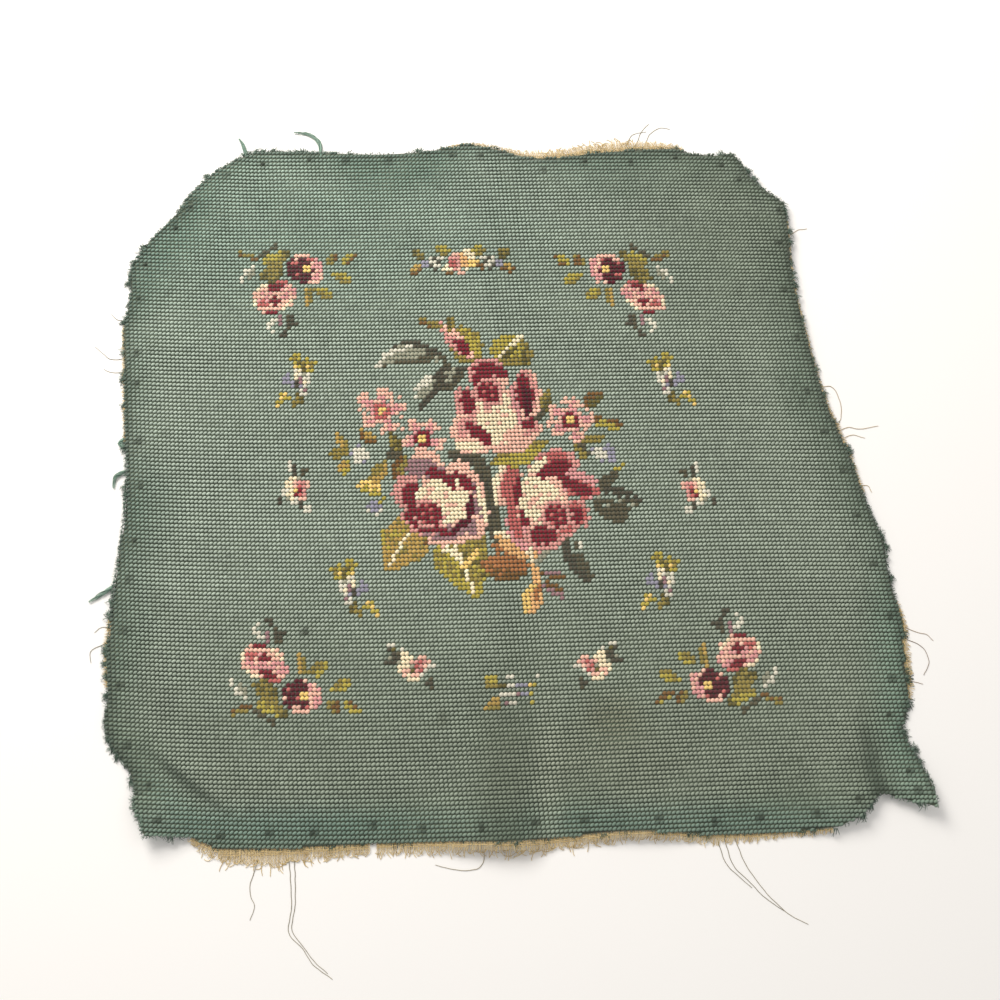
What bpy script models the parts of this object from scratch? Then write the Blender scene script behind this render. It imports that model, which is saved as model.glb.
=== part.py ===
"""Needlepoint seat panel: one stitched cloth, the bare canvas that frays along its edges, and its loose ends.

The cloth lies on a surface at z = 0 with its design upwards. +X runs to the right of the design and +Y towards
its back edge. All sizes are metres.
"""

import math
from typing import NamedTuple

import bmesh
import bpy
from mathutils import Vector

STITCH = 0.00254  # ten stitches to the inch
CLOTH_THICKNESS = 0.0024  # canvas with wool on both faces
CANVAS_THICKNESS = 0.0010  # bare canvas and its frayed threads
PARTING = 0.0004  # gap between the cloth's edge and a strip of bare canvas
FRAY_WIDTH = 0.0014  # a pair of canvas threads that has come loose
FRAY_PITCH = 1.7 * STITCH
NIB_PITCH = 2.6 * STITCH  # threads cut off short along a narrow strip
THREAD_WIDTH = {"canvas": 0.0009, "wool": 0.0020}
COLUMNS = 44
ROWS = 32
THREAD_TAPER = 0.5  # share of its width that a long loose thread loses by its end
FRAY_LEAN = 0.25  # how far a short one leans aside, as a share of its length
LEAN_TURN = 2.4  # radians from one thread to the next, for how they lean and how long they are
LENGTH_TURN = 4.1
FINER_COLUMNS = 0.6  # share by which columns crowd at the centre ridge and both sides
FINER_ROWS = 0.5  # share by which rows crowd at the front and back edges
EDGE_SAMPLES = 12  # points on each stretch of an edge curve, for measuring distances
EDGE_REACH = 0.004  # share of an edge's length, to either side, over which its direction is read
AWAY = {"front": (0, -1), "back": (0, 1), "left": (-1, 0), "right": (1, 0)}

# Each edge of the cloth as x, y, from the back left corner round to it again.
LEFT_EDGE = (
    (-0.212, 0.203), (-0.215, 0.192), (-0.225, 0.184), (-0.233, 0.173), (-0.241, 0.151),
    (-0.237, 0.137), (-0.241, 0.123), (-0.237, 0.088), (-0.232, 0.037), (-0.230, 0.024),
    (-0.228, -0.007), (-0.231, -0.060), (-0.230, -0.101), (-0.228, -0.114), (-0.229, -0.133),
    (-0.223, -0.144), (-0.210, -0.160), (-0.205, -0.178), (-0.198, -0.193),
)
FRONT_EDGE = (
    (-0.198, -0.193), (-0.175, -0.193), (-0.167, -0.196), (-0.158, -0.200), (-0.090, -0.198),
    (-0.053, -0.196), (0.016, -0.195), (0.074, -0.190), (0.127, -0.192), (0.190, -0.188),
    (0.201, -0.183), (0.211, -0.174), (0.212, -0.168), (0.223, -0.172), (0.245, -0.177),
)
RIGHT_EDGE = (
    (0.188, 0.205), (0.189, 0.148), (0.192, 0.128), (0.204, 0.066), (0.216, 0.031),
    (0.224, -0.001), (0.232, -0.022), (0.233, -0.046), (0.238, -0.071), (0.237, -0.090),
    (0.237, -0.124), (0.231, -0.131), (0.237, -0.146), (0.244, -0.164), (0.245, -0.177),
)
BACK_EDGE = (
    (-0.212, 0.203), (-0.201, 0.219), (-0.186, 0.232), (-0.168, 0.241), (-0.146, 0.245),
    (-0.085, 0.243), (-0.042, 0.242), (-0.022, 0.245), (-0.006, 0.244), (0.030, 0.240),
    (0.070, 0.245), (0.126, 0.247), (0.132, 0.241), (0.143, 0.241), (0.153, 0.245),
    (0.160, 0.238), (0.167, 0.224), (0.181, 0.210), (0.188, 0.205),
)


class CrestPoint(NamedTuple):
    """A point on a ridge's crest, and how far the cloth slopes down to the left and to the right of it."""

    x: float
    y: float
    height: float
    left_slope: float
    right_slope: float


# Every crest runs from the back of the cloth towards its front.
RIDGES = {
    "centre crease": (
        CrestPoint(-0.024, 0.290, 0.0085, 0.070, 0.048),
        CrestPoint(-0.011, 0.040, 0.0080, 0.070, 0.034),
        CrestPoint(0.012, -0.230, 0.0070, 0.060, 0.020),
    ),
    "front right fold": (
        CrestPoint(0.020, -0.138, 0.0000, 0.030, 0.012),
        CrestPoint(0.062, -0.166, 0.0042, 0.040, 0.014),
        CrestPoint(0.112, -0.206, 0.0030, 0.040, 0.016),
    ),
    "back left fold": (
        CrestPoint(-0.160, 0.250, 0.0040, 0.022, 0.022),
        CrestPoint(-0.178, 0.205, 0.0045, 0.028, 0.020),
        CrestPoint(-0.198, 0.135, 0.0000, 0.028, 0.020),
    ),
    "front left fold": (
        CrestPoint(-0.205, -0.132, 0.0000, 0.024, 0.012),
        CrestPoint(-0.176, -0.158, 0.0050, 0.036, 0.013),
        CrestPoint(-0.138, -0.184, 0.0000, 0.024, 0.014),
    ),
    "front right flap fold": (
        CrestPoint(0.202, -0.095, 0.0000, 0.014, 0.030),
        CrestPoint(0.196, -0.150, 0.0055, 0.014, 0.034),
        CrestPoint(0.197, -0.205, 0.0060, 0.014, 0.034),
    ),
    "back right swell": (
        CrestPoint(0.120, 0.265, 0.0000, 0.030, 0.030),
        CrestPoint(0.163, 0.190, 0.0060, 0.026, 0.045),
        CrestPoint(0.165, 0.120, 0.0035, 0.024, 0.050),
    ),
    "right roll": (
        CrestPoint(0.172, 0.135, 0.0020, 0.050, 0.020),
        CrestPoint(0.189, 0.060, 0.0045, 0.055, 0.017),
        CrestPoint(0.214, -0.020, 0.0045, 0.055, 0.017),
        CrestPoint(0.222, -0.085, 0.0000, 0.040, 0.017),
    ),
    "left roll": (
        CrestPoint(-0.228, 0.150, 0.0000, 0.012, 0.040),
        CrestPoint(-0.226, 0.090, 0.0032, 0.012, 0.045),
        CrestPoint(-0.220, 0.000, 0.0036, 0.011, 0.050),
        CrestPoint(-0.220, -0.080, 0.0040, 0.011, 0.050),
        CrestPoint(-0.216, -0.135, 0.0000, 0.012, 0.030),
    ),
}


class Lift(NamedTuple):
    """A corner of the cloth that curls up off the surface."""

    x: float
    y: float
    radius: float
    height: float


LIFTS = (
    Lift(-0.204, -0.196, 0.038, 0.0085),
    Lift(0.250, -0.176, 0.036, 0.0090),
)


class MarginPoint(NamedTuple):
    """Where a strip of bare canvas is measured: how far along its edge, its woven width and its fray."""

    along: float
    woven: float
    fray: float


class Margin(NamedTuple):
    """A strip of bare canvas outside one edge of the cloth. Along is x on the front and back edges, else y."""

    edge: str
    pitch: float
    points: tuple
    threads: tuple
    material: str


# Each loose thread as the x, y of its points, from its root on the strip's outer side.
FRONT_LEFT_THREADS = (
    ((-0.120, -0.214), (-0.116, -0.229), (-0.116, -0.245), (-0.109, -0.251), (-0.103, -0.259), (-0.091, -0.267)),
    ((-0.136, -0.216), (-0.139, -0.221), (-0.138, -0.225), (-0.136, -0.229), (-0.138, -0.237)),
)
FRONT_RIGHT_THREADS = (
    ((-0.008, -0.205), (-0.011, -0.209), (-0.018, -0.211), (-0.028, -0.210), (-0.036, -0.208)),
    ((0.132, -0.201), (0.137, -0.207), (0.142, -0.215), (0.152, -0.227), (0.160, -0.234), (0.170, -0.239)),
    ((0.122, -0.201), (0.127, -0.208), (0.133, -0.214), (0.140, -0.220)),
)
BACK_THREADS = (
    ((0.097, 0.256), (0.102, 0.260), (0.109, 0.264), (0.115, 0.263)),
    ((0.091, 0.257), (0.097, 0.263), (0.101, 0.268)),
)
RIGHT_UPPER_THREADS = (
    ((0.191, 0.181), (0.196, 0.187), (0.202, 0.188)),
    ((0.212, 0.047), (0.217, 0.050), (0.224, 0.049), (0.236, 0.051)),
    ((0.214, 0.042), (0.219, 0.045), (0.227, 0.043)),
    ((0.222, 0.012), (0.226, 0.012), (0.228, 0.008)),
)
RIGHT_LOWER_THREADS = (
    ((0.242, -0.074), (0.247, -0.078), (0.252, -0.079), (0.257, -0.083)),
    ((0.243, -0.081), (0.250, -0.088), (0.252, -0.095), (0.248, -0.103)),
    ((0.243, -0.106), (0.247, -0.108)),
)
LEFT_UPPER_THREADS = (
    ((-0.241, 0.096), (-0.248, 0.096), (-0.253, 0.100), (-0.259, 0.104)),
    ((-0.240, 0.087), (-0.247, 0.087), (-0.251, 0.089)),
)
LEFT_LOWER_THREADS = (
    ((-0.232, -0.083), (-0.236, -0.086), (-0.241, -0.089), (-0.240, -0.096)),
)
BACK_TAILS = (
    ((-0.171, 0.241), (-0.173, 0.250), (-0.178, 0.258)),
    ((-0.120, 0.246), (-0.123, 0.254), (-0.130, 0.259), (-0.142, 0.260)),
)
LEFT_TAILS = (
    ((-0.232, 0.022), (-0.237, 0.018), (-0.237, 0.009)),
    ((-0.232, -0.050), (-0.239, -0.056), (-0.246, -0.061)),
)

MARGINS = {
    "front_left_bare_canvas": Margin(
        "front", FRAY_PITCH, (
            MarginPoint(-0.173, 0.0018, 0.0020), MarginPoint(-0.152, 0.0070, 0.0045),
            MarginPoint(-0.128, 0.0085, 0.0045), MarginPoint(-0.104, 0.0055, 0.0030),
            MarginPoint(-0.068, 0.0045, 0.0025),
        ), FRONT_LEFT_THREADS, "canvas",
    ),
    "front_right_bare_canvas": Margin(
        "front", FRAY_PITCH, (
            MarginPoint(-0.063, 0.0050, 0.0025), MarginPoint(-0.010, 0.0045, 0.0030),
            MarginPoint(0.020, 0.0060, 0.0055), MarginPoint(0.042, 0.0045, 0.0045),
            MarginPoint(0.074, 0.0030, 0.0020), MarginPoint(0.120, 0.0035, 0.0025),
            MarginPoint(0.160, 0.0015, 0.0016), MarginPoint(0.187, 0.0012, 0.0015),
        ), FRONT_RIGHT_THREADS, "canvas",
    ),
    "back_bare_canvas": Margin(
        "back", FRAY_PITCH, (
            MarginPoint(-0.040, 0.0012, 0.0020), MarginPoint(0.005, 0.0022, 0.0025),
            MarginPoint(0.040, 0.0045, 0.0030), MarginPoint(0.078, 0.0055, 0.0050),
            MarginPoint(0.100, 0.0045, 0.0025), MarginPoint(0.123, 0.0015, 0.0015),
        ), BACK_THREADS, "canvas",
    ),
    "right_upper_bare_canvas": Margin(
        "right", NIB_PITCH, (
            MarginPoint(0.192, 0.0012, 0.0012), MarginPoint(0.120, 0.0014, 0.0014),
            MarginPoint(0.045, 0.0020, 0.0020), MarginPoint(0.008, 0.0016, 0.0014),
        ), RIGHT_UPPER_THREADS, "canvas",
    ),
    "right_lower_bare_canvas": Margin(
        "right", FRAY_PITCH, (
            MarginPoint(-0.060, 0.0015, 0.0015), MarginPoint(-0.080, 0.0032, 0.0018),
            MarginPoint(-0.100, 0.0036, 0.0020), MarginPoint(-0.116, 0.0020, 0.0018),
        ), RIGHT_LOWER_THREADS, "canvas",
    ),
    "left_upper_bare_canvas": Margin(
        "left", NIB_PITCH, (
            MarginPoint(0.118, 0.0010, 0.0012), MarginPoint(0.080, 0.0018, 0.0014),
            MarginPoint(0.040, 0.0016, 0.0012),
        ), LEFT_UPPER_THREADS, "canvas",
    ),
    "left_lower_bare_canvas": Margin(
        "left", NIB_PITCH, (
            MarginPoint(-0.070, 0.0014, 0.0012), MarginPoint(-0.090, 0.0020, 0.0016),
            MarginPoint(-0.110, 0.0014, 0.0012),
        ), LEFT_LOWER_THREADS, "canvas",
    ),
    "back_left_wool_ends": Margin(
        "back", NIB_PITCH, (
            MarginPoint(-0.180, 0.0010, 0.0012), MarginPoint(-0.150, 0.0012, 0.0016),
            MarginPoint(-0.112, 0.0010, 0.0012),
        ), BACK_TAILS, "wool",
    ),
    "left_wool_ends": Margin(
        "left", NIB_PITCH, (
            MarginPoint(0.030, 0.0010, 0.0014), MarginPoint(-0.020, 0.0012, 0.0016),
            MarginPoint(-0.062, 0.0010, 0.0014),
        ), LEFT_TAILS, "wool",
    ),
}


class Finish(NamedTuple):
    """The plain colour and roughness of one material."""

    colour: tuple
    roughness: float


FINISHES = {
    "wool": Finish((0.25, 0.38, 0.29, 1.0), 0.95),
    "canvas": Finish((0.55, 0.40, 0.20, 1.0), 0.90),
}


def clear_scene():
    """Removes every object that the file opened with."""
    for obj in list(bpy.data.objects):
        bpy.data.objects.remove(obj)


def make_material(name):
    """A Principled material with the finish of that name."""
    finish = FINISHES[name]
    material = bpy.data.materials.new(name)
    material.use_nodes = True
    shader = material.node_tree.nodes["Principled BSDF"]
    shader.inputs["Base Color"].default_value = finish.colour
    shader.inputs["Roughness"].default_value = finish.roughness
    shader.inputs["Metallic"].default_value = 0.0
    return material


def ramp(t):
    """A smooth rise from 0 to 1 as t goes from 0 to 1."""
    t = min(max(t, 0.0), 1.0)
    return t * t * (3.0 - 2.0 * t)


def smooth_line(points, samples):
    """The points of a smooth curve through the given ones, with a few on each stretch between two of them."""
    along = [0.0]
    for a, b in zip(points, points[1:]):
        along.append(along[-1] + math.dist(a, b))
    slopes = []
    for i in range(len(points)):
        low, high = max(i - 1, 0), min(i + 1, len(points) - 1)
        run = along[high] - along[low]
        slopes.append([(points[high][k] - points[low][k]) / run for k in range(2)])
    line = []
    for i in range(len(points) - 1):
        run = along[i + 1] - along[i]
        for step in range(samples):
            t = step / samples
            line.append(tuple(
                (2 * t**3 - 3 * t**2 + 1) * points[i][k]
                + (t**3 - 2 * t**2 + t) * run * slopes[i][k]
                + (3 * t**2 - 2 * t**3) * points[i + 1][k]
                + (t**3 - t**2) * run * slopes[i + 1][k]
                for k in range(2)
            ))
    line.append(tuple(points[-1]))
    return line


def at_shares(line, shares):
    """The points at those shares, 0 to 1, of a line's length."""
    along = [0.0]
    for a, b in zip(line, line[1:]):
        along.append(along[-1] + math.dist(a, b))
    found = []
    for share in shares:
        target = share * along[-1]
        i = 0
        while i < len(line) - 2 and along[i + 1] < target:
            i += 1
        t = (target - along[i]) / (along[i + 1] - along[i])
        found.append(tuple(line[i][k] + t * (line[i + 1][k] - line[i][k]) for k in range(len(line[0]))))
    return found


def column_share(i):
    """How far across the cloth column i lies, from 0 to 1, with columns closer at the centre and the sides."""
    t = i / COLUMNS
    return t - FINER_COLUMNS * math.sin(4 * math.pi * t) / (4 * math.pi)


def row_share(j):
    """How far from the front edge row j lies, from 0 to 1, with rows closer at the front and the back."""
    t = j / ROWS
    return t - FINER_ROWS * math.sin(2 * math.pi * t) / (2 * math.pi)


def ridge_height(x, y, crest):
    """How high one ridge holds the cloth at a place."""
    best = (math.inf, 0.0)
    for a, b in zip(crest, crest[1:]):
        run_x, run_y = b.x - a.x, b.y - a.y
        t = ((x - a.x) * run_x + (y - a.y) * run_y) / (run_x**2 + run_y**2)
        t = min(max(t, 0.0), 1.0)
        off_x, off_y = x - a.x - t * run_x, y - a.y - t * run_y
        distance = math.hypot(off_x, off_y)
        if distance >= best[0]:
            continue
        on_left = run_x * off_y - run_y * off_x < 0
        slope = a.left_slope + t * (b.left_slope - a.left_slope)
        if not on_left:
            slope = a.right_slope + t * (b.right_slope - a.right_slope)
        height = a.height + ramp(t) * (b.height - a.height)
        best = (distance, height * (1.0 - ramp(distance / slope)))
    return best[1]


def underside(x, y):
    """How high the underside of the cloth lies above the surface at a place. It is 0 where the cloth lies flat."""
    height = sum(ridge_height(x, y, crest) for crest in RIDGES.values())
    for lift in LIFTS:
        height += lift.height * (1.0 - ramp(math.hypot(x - lift.x, y - lift.y) / lift.radius))
    return height


def edge_lines():
    """The four edges of the cloth as the straight stretches that its solid has, by name."""
    across = [column_share(i) for i in range(COLUMNS + 1)]
    upwards = [row_share(j) for j in range(ROWS + 1)]
    return {
        "front": at_shares(smooth_line(FRONT_EDGE, EDGE_SAMPLES), across),
        "back": at_shares(smooth_line(BACK_EDGE, EDGE_SAMPLES), across),
        "left": at_shares(smooth_line(LEFT_EDGE[::-1], EDGE_SAMPLES), upwards),
        "right": at_shares(smooth_line(RIGHT_EDGE[::-1], EDGE_SAMPLES), upwards),
    }


def between_edges(edges, i, j):
    """The place of a grid point: its own share of the way between opposite edges, both ways at once."""
    u, v = column_share(i), row_share(j)
    front, back, left, right = (edges[name] for name in ("front", "back", "left", "right"))
    return tuple(
        (1 - v) * front[i][k] + v * back[i][k] + (1 - u) * left[j][k] + u * right[j][k]
        - (1 - u) * (1 - v) * front[0][k] - u * (1 - v) * front[-1][k]
        - (1 - u) * v * back[0][k] - u * v * back[-1][k]
        for k in range(2)
    )


def thicken(mesh, thickness):
    """Closes an open sheet into a solid by raising a copy of it straight up."""
    made = bmesh.ops.extrude_face_region(mesh, geom=mesh.faces[:])
    raised = [item for item in made["geom"] if isinstance(item, bmesh.types.BMVert)]
    bmesh.ops.translate(mesh, vec=(0.0, 0.0, thickness), verts=raised)
    bmesh.ops.recalc_face_normals(mesh, faces=mesh.faces[:])


def add_object(name, mesh, material, collection, root):
    """Adds a finished mesh as a named object under the panel's empty."""
    data = bpy.data.meshes.new(name)
    mesh.to_mesh(data)
    mesh.free()
    data.materials.append(material)
    obj = bpy.data.objects.new(name, data)
    collection.objects.link(obj)
    obj.parent = root
    return obj


def make_cloth(edges):
    """The stitched cloth: a grid drawn out to the four edges, laid over its ridges and thickened."""
    mesh = bmesh.new()
    bmesh.ops.create_grid(mesh, x_segments=COLUMNS, y_segments=ROWS, size=0.5)
    for vert in mesh.verts:
        i = round((vert.co.x + 0.5) * COLUMNS)
        j = round((vert.co.y + 0.5) * ROWS)
        x, y = between_edges(edges, i, j)
        vert.co = (x, y, underside(x, y))
    thicken(mesh, CLOTH_THICKNESS)
    return mesh


def edge_away(line, share, edge):
    """The direction, level and square to an edge, that points away from the cloth."""
    a, b = at_shares(line, (max(share - EDGE_REACH, 0.0), min(share + EDGE_REACH, 1.0)))
    length = math.hypot(b[0] - a[0], b[1] - a[1])
    square = Vector(((b[1] - a[1]) / length, (a[0] - b[0]) / length))
    return square if square.dot(Vector(AWAY[edge])) > 0 else -square


def share_at(line, axis, value):
    """The share of a line's length at which its x or y, as axis 0 or 1, first reaches a value."""
    total, passed = sum(math.dist(a, b) for a, b in zip(line, line[1:])), 0.0
    for a, b in zip(line, line[1:]):
        if (a[axis] - value) * (b[axis] - value) <= 0 and a[axis] != b[axis]:
            return (passed + math.dist(a, b) * (value - a[axis]) / (b[axis] - a[axis])) / total
        passed += math.dist(a, b)
    raise ValueError("the edge doesn't reach that far")


def widths_at(points, along):
    """The woven width and the fray of a strip at a place along its edge."""
    direction = math.copysign(1.0, points[-1].along - points[0].along)
    for a, b in zip(points, points[1:]):
        if direction * along <= direction * b.along or b is points[-1]:
            t = min(max((along - a.along) / (b.along - a.along), 0.0), 1.0)
            return a.woven + t * (b.woven - a.woven), a.fray + t * (b.fray - a.fray)


def stations(length, pitch):
    """How many threads leave a strip of that length, and the shares of it where each of them starts and ends."""
    frays = int(length / pitch)
    half = 0.5 * FRAY_WIDTH / length
    shares = [0.0]
    for fray in range(frays):
        middle = (fray + 0.5) / frays
        shares += [middle - half, middle + half]
    return frays, shares + [1.0]


def lay_strip(mesh, margin, line, axis):
    """Lays a strip along an edge, and gives the sides that its threads leave from, each with its way out."""
    start = share_at(line, axis, margin.points[0].along)
    stop = share_at(line, axis, margin.points[-1].along)
    length = abs(stop - start) * sum(math.dist(a, b) for a, b in zip(line, line[1:]))
    frays, shares = stations(length, margin.pitch)
    bmesh.ops.create_grid(mesh, x_segments=len(shares) - 1, y_segments=1, size=0.5)
    outer = {}
    for vert in mesh.verts:
        column = round((vert.co.x + 0.5) * (len(shares) - 1))
        share = start + shares[column] * (stop - start)
        place = Vector(at_shares(line, (share,))[0])
        away = edge_away(line, share, margin.edge)
        reach = PARTING
        if vert.co.y > 0:
            reach += widths_at(margin.points, place[axis])[0]
            outer[column] = (vert, away)
        vert.co = (*(place + reach * away), underside(*place))
    sides = []
    for fray in range(frays):
        (first, away), (second, _) = outer[2 * fray + 1], outer[2 * fray + 2]
        sides.append((mesh.edges.get((first, second)), away))
    return sides


def fray_route(root, away, length, number):
    """The two steps of a short loose thread, each as its place and its direction. Threads lean unlike ways."""
    lean = FRAY_LEAN * math.sin(LEAN_TURN * number)
    reach = length * (0.75 + 0.25 * math.sin(LENGTH_TURN * number))
    aside = Vector((-away.y, away.x))
    return (
        (root + 0.5 * reach * away, away),
        (root + reach * (away + lean * aside), away),
    )


def thread_route(points):
    """The steps of a long loose thread past its root, each as its place and the thread's direction there."""
    line = smooth_line(points, 2)
    route = []
    for i in range(1, len(line)):
        run = Vector(line[min(i + 1, len(line) - 1)]) - Vector(line[i - 1])
        route.append((Vector(line[i]), run.normalized()))
    return route


def run_out(mesh, side, route, widths, heights):
    """Draws a flat thread out from one side of a strip, along a route, at those widths and heights."""
    for (place, heading), width, height in zip(route, widths, heights):
        first, second = side.verts
        made = bmesh.ops.extrude_edge_only(mesh, edges=[side])["geom"]
        side = next(item for item in made if isinstance(item, bmesh.types.BMEdge))
        near_first, near_second = sorted(side.verts, key=lambda vert: (vert.co - first.co).length)
        across = Vector((-heading.y, heading.x))
        if across.dot((second.co - first.co).xy) < 0:
            across = -across
        near_first.co = (*(place - 0.5 * width * across), height)
        near_second.co = (*(place + 0.5 * width * across), height)


def make_margin(margin, line):
    """One strip of bare canvas outside an edge, with the short and the long loose threads that leave it."""
    mesh = bmesh.new()
    axis = 0 if margin.edge in ("front", "back") else 1
    sides = lay_strip(mesh, margin, line, axis)
    middles = [sum((vert.co for vert in side.verts), Vector()) / 2 for side, _ in sides]
    long_threads = {}
    for thread in margin.threads:
        free = [number for number in range(len(sides)) if number not in long_threads]
        nearest = min(free, key=lambda number: math.dist(middles[number].xy, thread[0]))
        long_threads[nearest] = thread
    for number, (side, away) in enumerate(sides):
        root = middles[number]
        if number in long_threads:
            route = thread_route((tuple(root.xy),) + long_threads[number][1:])
            full = THREAD_WIDTH[margin.material]
            widths = [full * (1.0 - THREAD_TAPER * step / len(route)) for step in range(len(route))]
            heights = [0.0] * len(route)
        else:
            _, fray = widths_at(margin.points, root[axis])
            route = fray_route(root.xy, away, fray, number)
            widths = (0.85 * FRAY_WIDTH, 0.5 * FRAY_WIDTH)
            heights = (0.5 * root.z, 0.0)
        run_out(mesh, side, route, widths, heights)
    thicken(mesh, CANVAS_THICKNESS)
    return mesh


def main():
    """Builds the panel's pieces under one empty."""
    clear_scene()
    collection = bpy.data.collections.new("needlepoint_panel")
    bpy.context.scene.collection.children.link(collection)
    root = bpy.data.objects.new("panel_origin", None)
    collection.objects.link(root)
    edges = edge_lines()
    add_object("stitched_cloth", make_cloth(edges), make_material("wool"), collection, root)
    for name, margin in MARGINS.items():
        mesh = make_margin(margin, edges[margin.edge])
        add_object(name, mesh, make_material(margin.material), collection, root)


main()
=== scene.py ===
"""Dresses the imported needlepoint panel: wool stitches, bare canvas, fray, loose ends, and a plain studio.

The panel is a chair seat's cover, worked in wool tent stitch on ten-mesh canvas and taken off its seat.
Sizes are millimetres, turned to Blender's metres by MM. Places on the design are counted in stitches from its
middle.
"""

import logging
import math
from dataclasses import dataclass, field
from enum import Enum

import bmesh
import bpy
import numpy as np
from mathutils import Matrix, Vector
from mathutils.bvhtree import BVHTree


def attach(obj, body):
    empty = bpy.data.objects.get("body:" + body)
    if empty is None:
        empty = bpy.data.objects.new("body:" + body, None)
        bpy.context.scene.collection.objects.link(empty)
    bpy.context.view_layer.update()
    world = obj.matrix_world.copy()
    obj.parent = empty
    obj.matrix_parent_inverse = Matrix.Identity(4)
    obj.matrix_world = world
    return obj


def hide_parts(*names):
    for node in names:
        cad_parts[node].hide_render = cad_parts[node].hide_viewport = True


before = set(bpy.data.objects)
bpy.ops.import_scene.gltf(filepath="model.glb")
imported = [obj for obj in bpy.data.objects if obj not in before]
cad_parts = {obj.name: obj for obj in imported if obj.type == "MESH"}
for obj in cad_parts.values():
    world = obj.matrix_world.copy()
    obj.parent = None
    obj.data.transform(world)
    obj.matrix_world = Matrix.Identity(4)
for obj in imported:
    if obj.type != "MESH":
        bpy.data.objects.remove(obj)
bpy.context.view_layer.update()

logging.basicConfig(level=logging.INFO, format="%(message)s")
LOG = logging.getLogger("panel")

MM = 0.001
STITCH = 2.54  # ten-mesh canvas
CLOTH = "stitched_cloth"


def linear(colour: str) -> tuple[float, float, float]:
    """Turns an sRGB hex colour to the linear values that shaders use.

    Args:
        colour: The colour as #RRGGBB.

    Returns:
        Its red, green and blue.
    """
    parts = [int(colour[i : i + 2], 16) / 255 for i in (1, 3, 5)]
    return tuple(part / 12.92 if part <= 0.04045 else ((part + 0.055) / 1.055) ** 2.4 for part in parts)


def add_node(tree: bpy.types.NodeTree, kind: str, links: dict | None = None, **settings) -> bpy.types.Node:
    """Adds a node, sets its properties, and fills its inputs.

    Args:
        tree: The node tree to add it to.
        kind: The node's type.
        links: What each input takes, by its name or number: another node's output, or a value.
        settings: The node's own properties.

    Returns:
        The new node.
    """
    node = tree.nodes.new(kind)
    for name, value in settings.items():
        setattr(node, name, value)
    for name, value in (links or {}).items():
        if isinstance(value, bpy.types.NodeSocket):
            tree.links.new(value, node.inputs[name])
        else:
            node.inputs[name].default_value = value
    return node


class Wool(Enum):
    """The wools of the design, by the colour that each has faded to."""

    SAGE = "#A9B4A2"
    BURGUNDY = "#812733"
    PLUM = "#5C1C2A"
    ROSE = "#C46A66"
    DUSTY_ROSE = "#E09F96"
    PINK = "#E6A3A0"
    BLUSH = "#FBC6B0"
    CREAM = "#FFEDC8"
    YELLOW = "#FAD480"
    GOLD = "#BF9F58"
    CHARTREUSE = "#B8A84C"
    OLIVE = "#958546"
    MOSS = "#6B6135"
    BROWN = "#7C5A34"
    RUST = "#B0764A"
    PEACH = "#F0BC80"
    SLATE = "#534E42"
    FERN = "#5D5745"
    ASH = "#A09F8A"
    WHITE = "#E0DBC8"
    LAVENDER = "#9C99A8"
    MAUVE = "#9F7B7E"


WOOLS = list(Wool)


class Chart:
    """Which wool each stitch is, on a square grid counted from the middle of the design."""

    def __init__(self, half: int = 100, seed: int = 7) -> None:
        """Starts an all-sage chart.

        Args:
            half: How many columns and rows it has to each side of the middle one.
            seed: The seed of the small unevenness in what the stitcher shaded by eye.
        """
        self.half = half
        count = np.arange(-half, half + 1)
        self.column, self.row = np.meshgrid(count, count)
        self.wool = np.zeros(self.column.shape, int)
        self.waver = np.random.default_rng(seed).uniform(-1, 1, self.column.shape)

    def fill(self, where: np.ndarray, wool: Wool) -> None:
        """Works the stitches where a mask is true in one wool."""
        self.wool[where] = WOOLS.index(wool)


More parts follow.
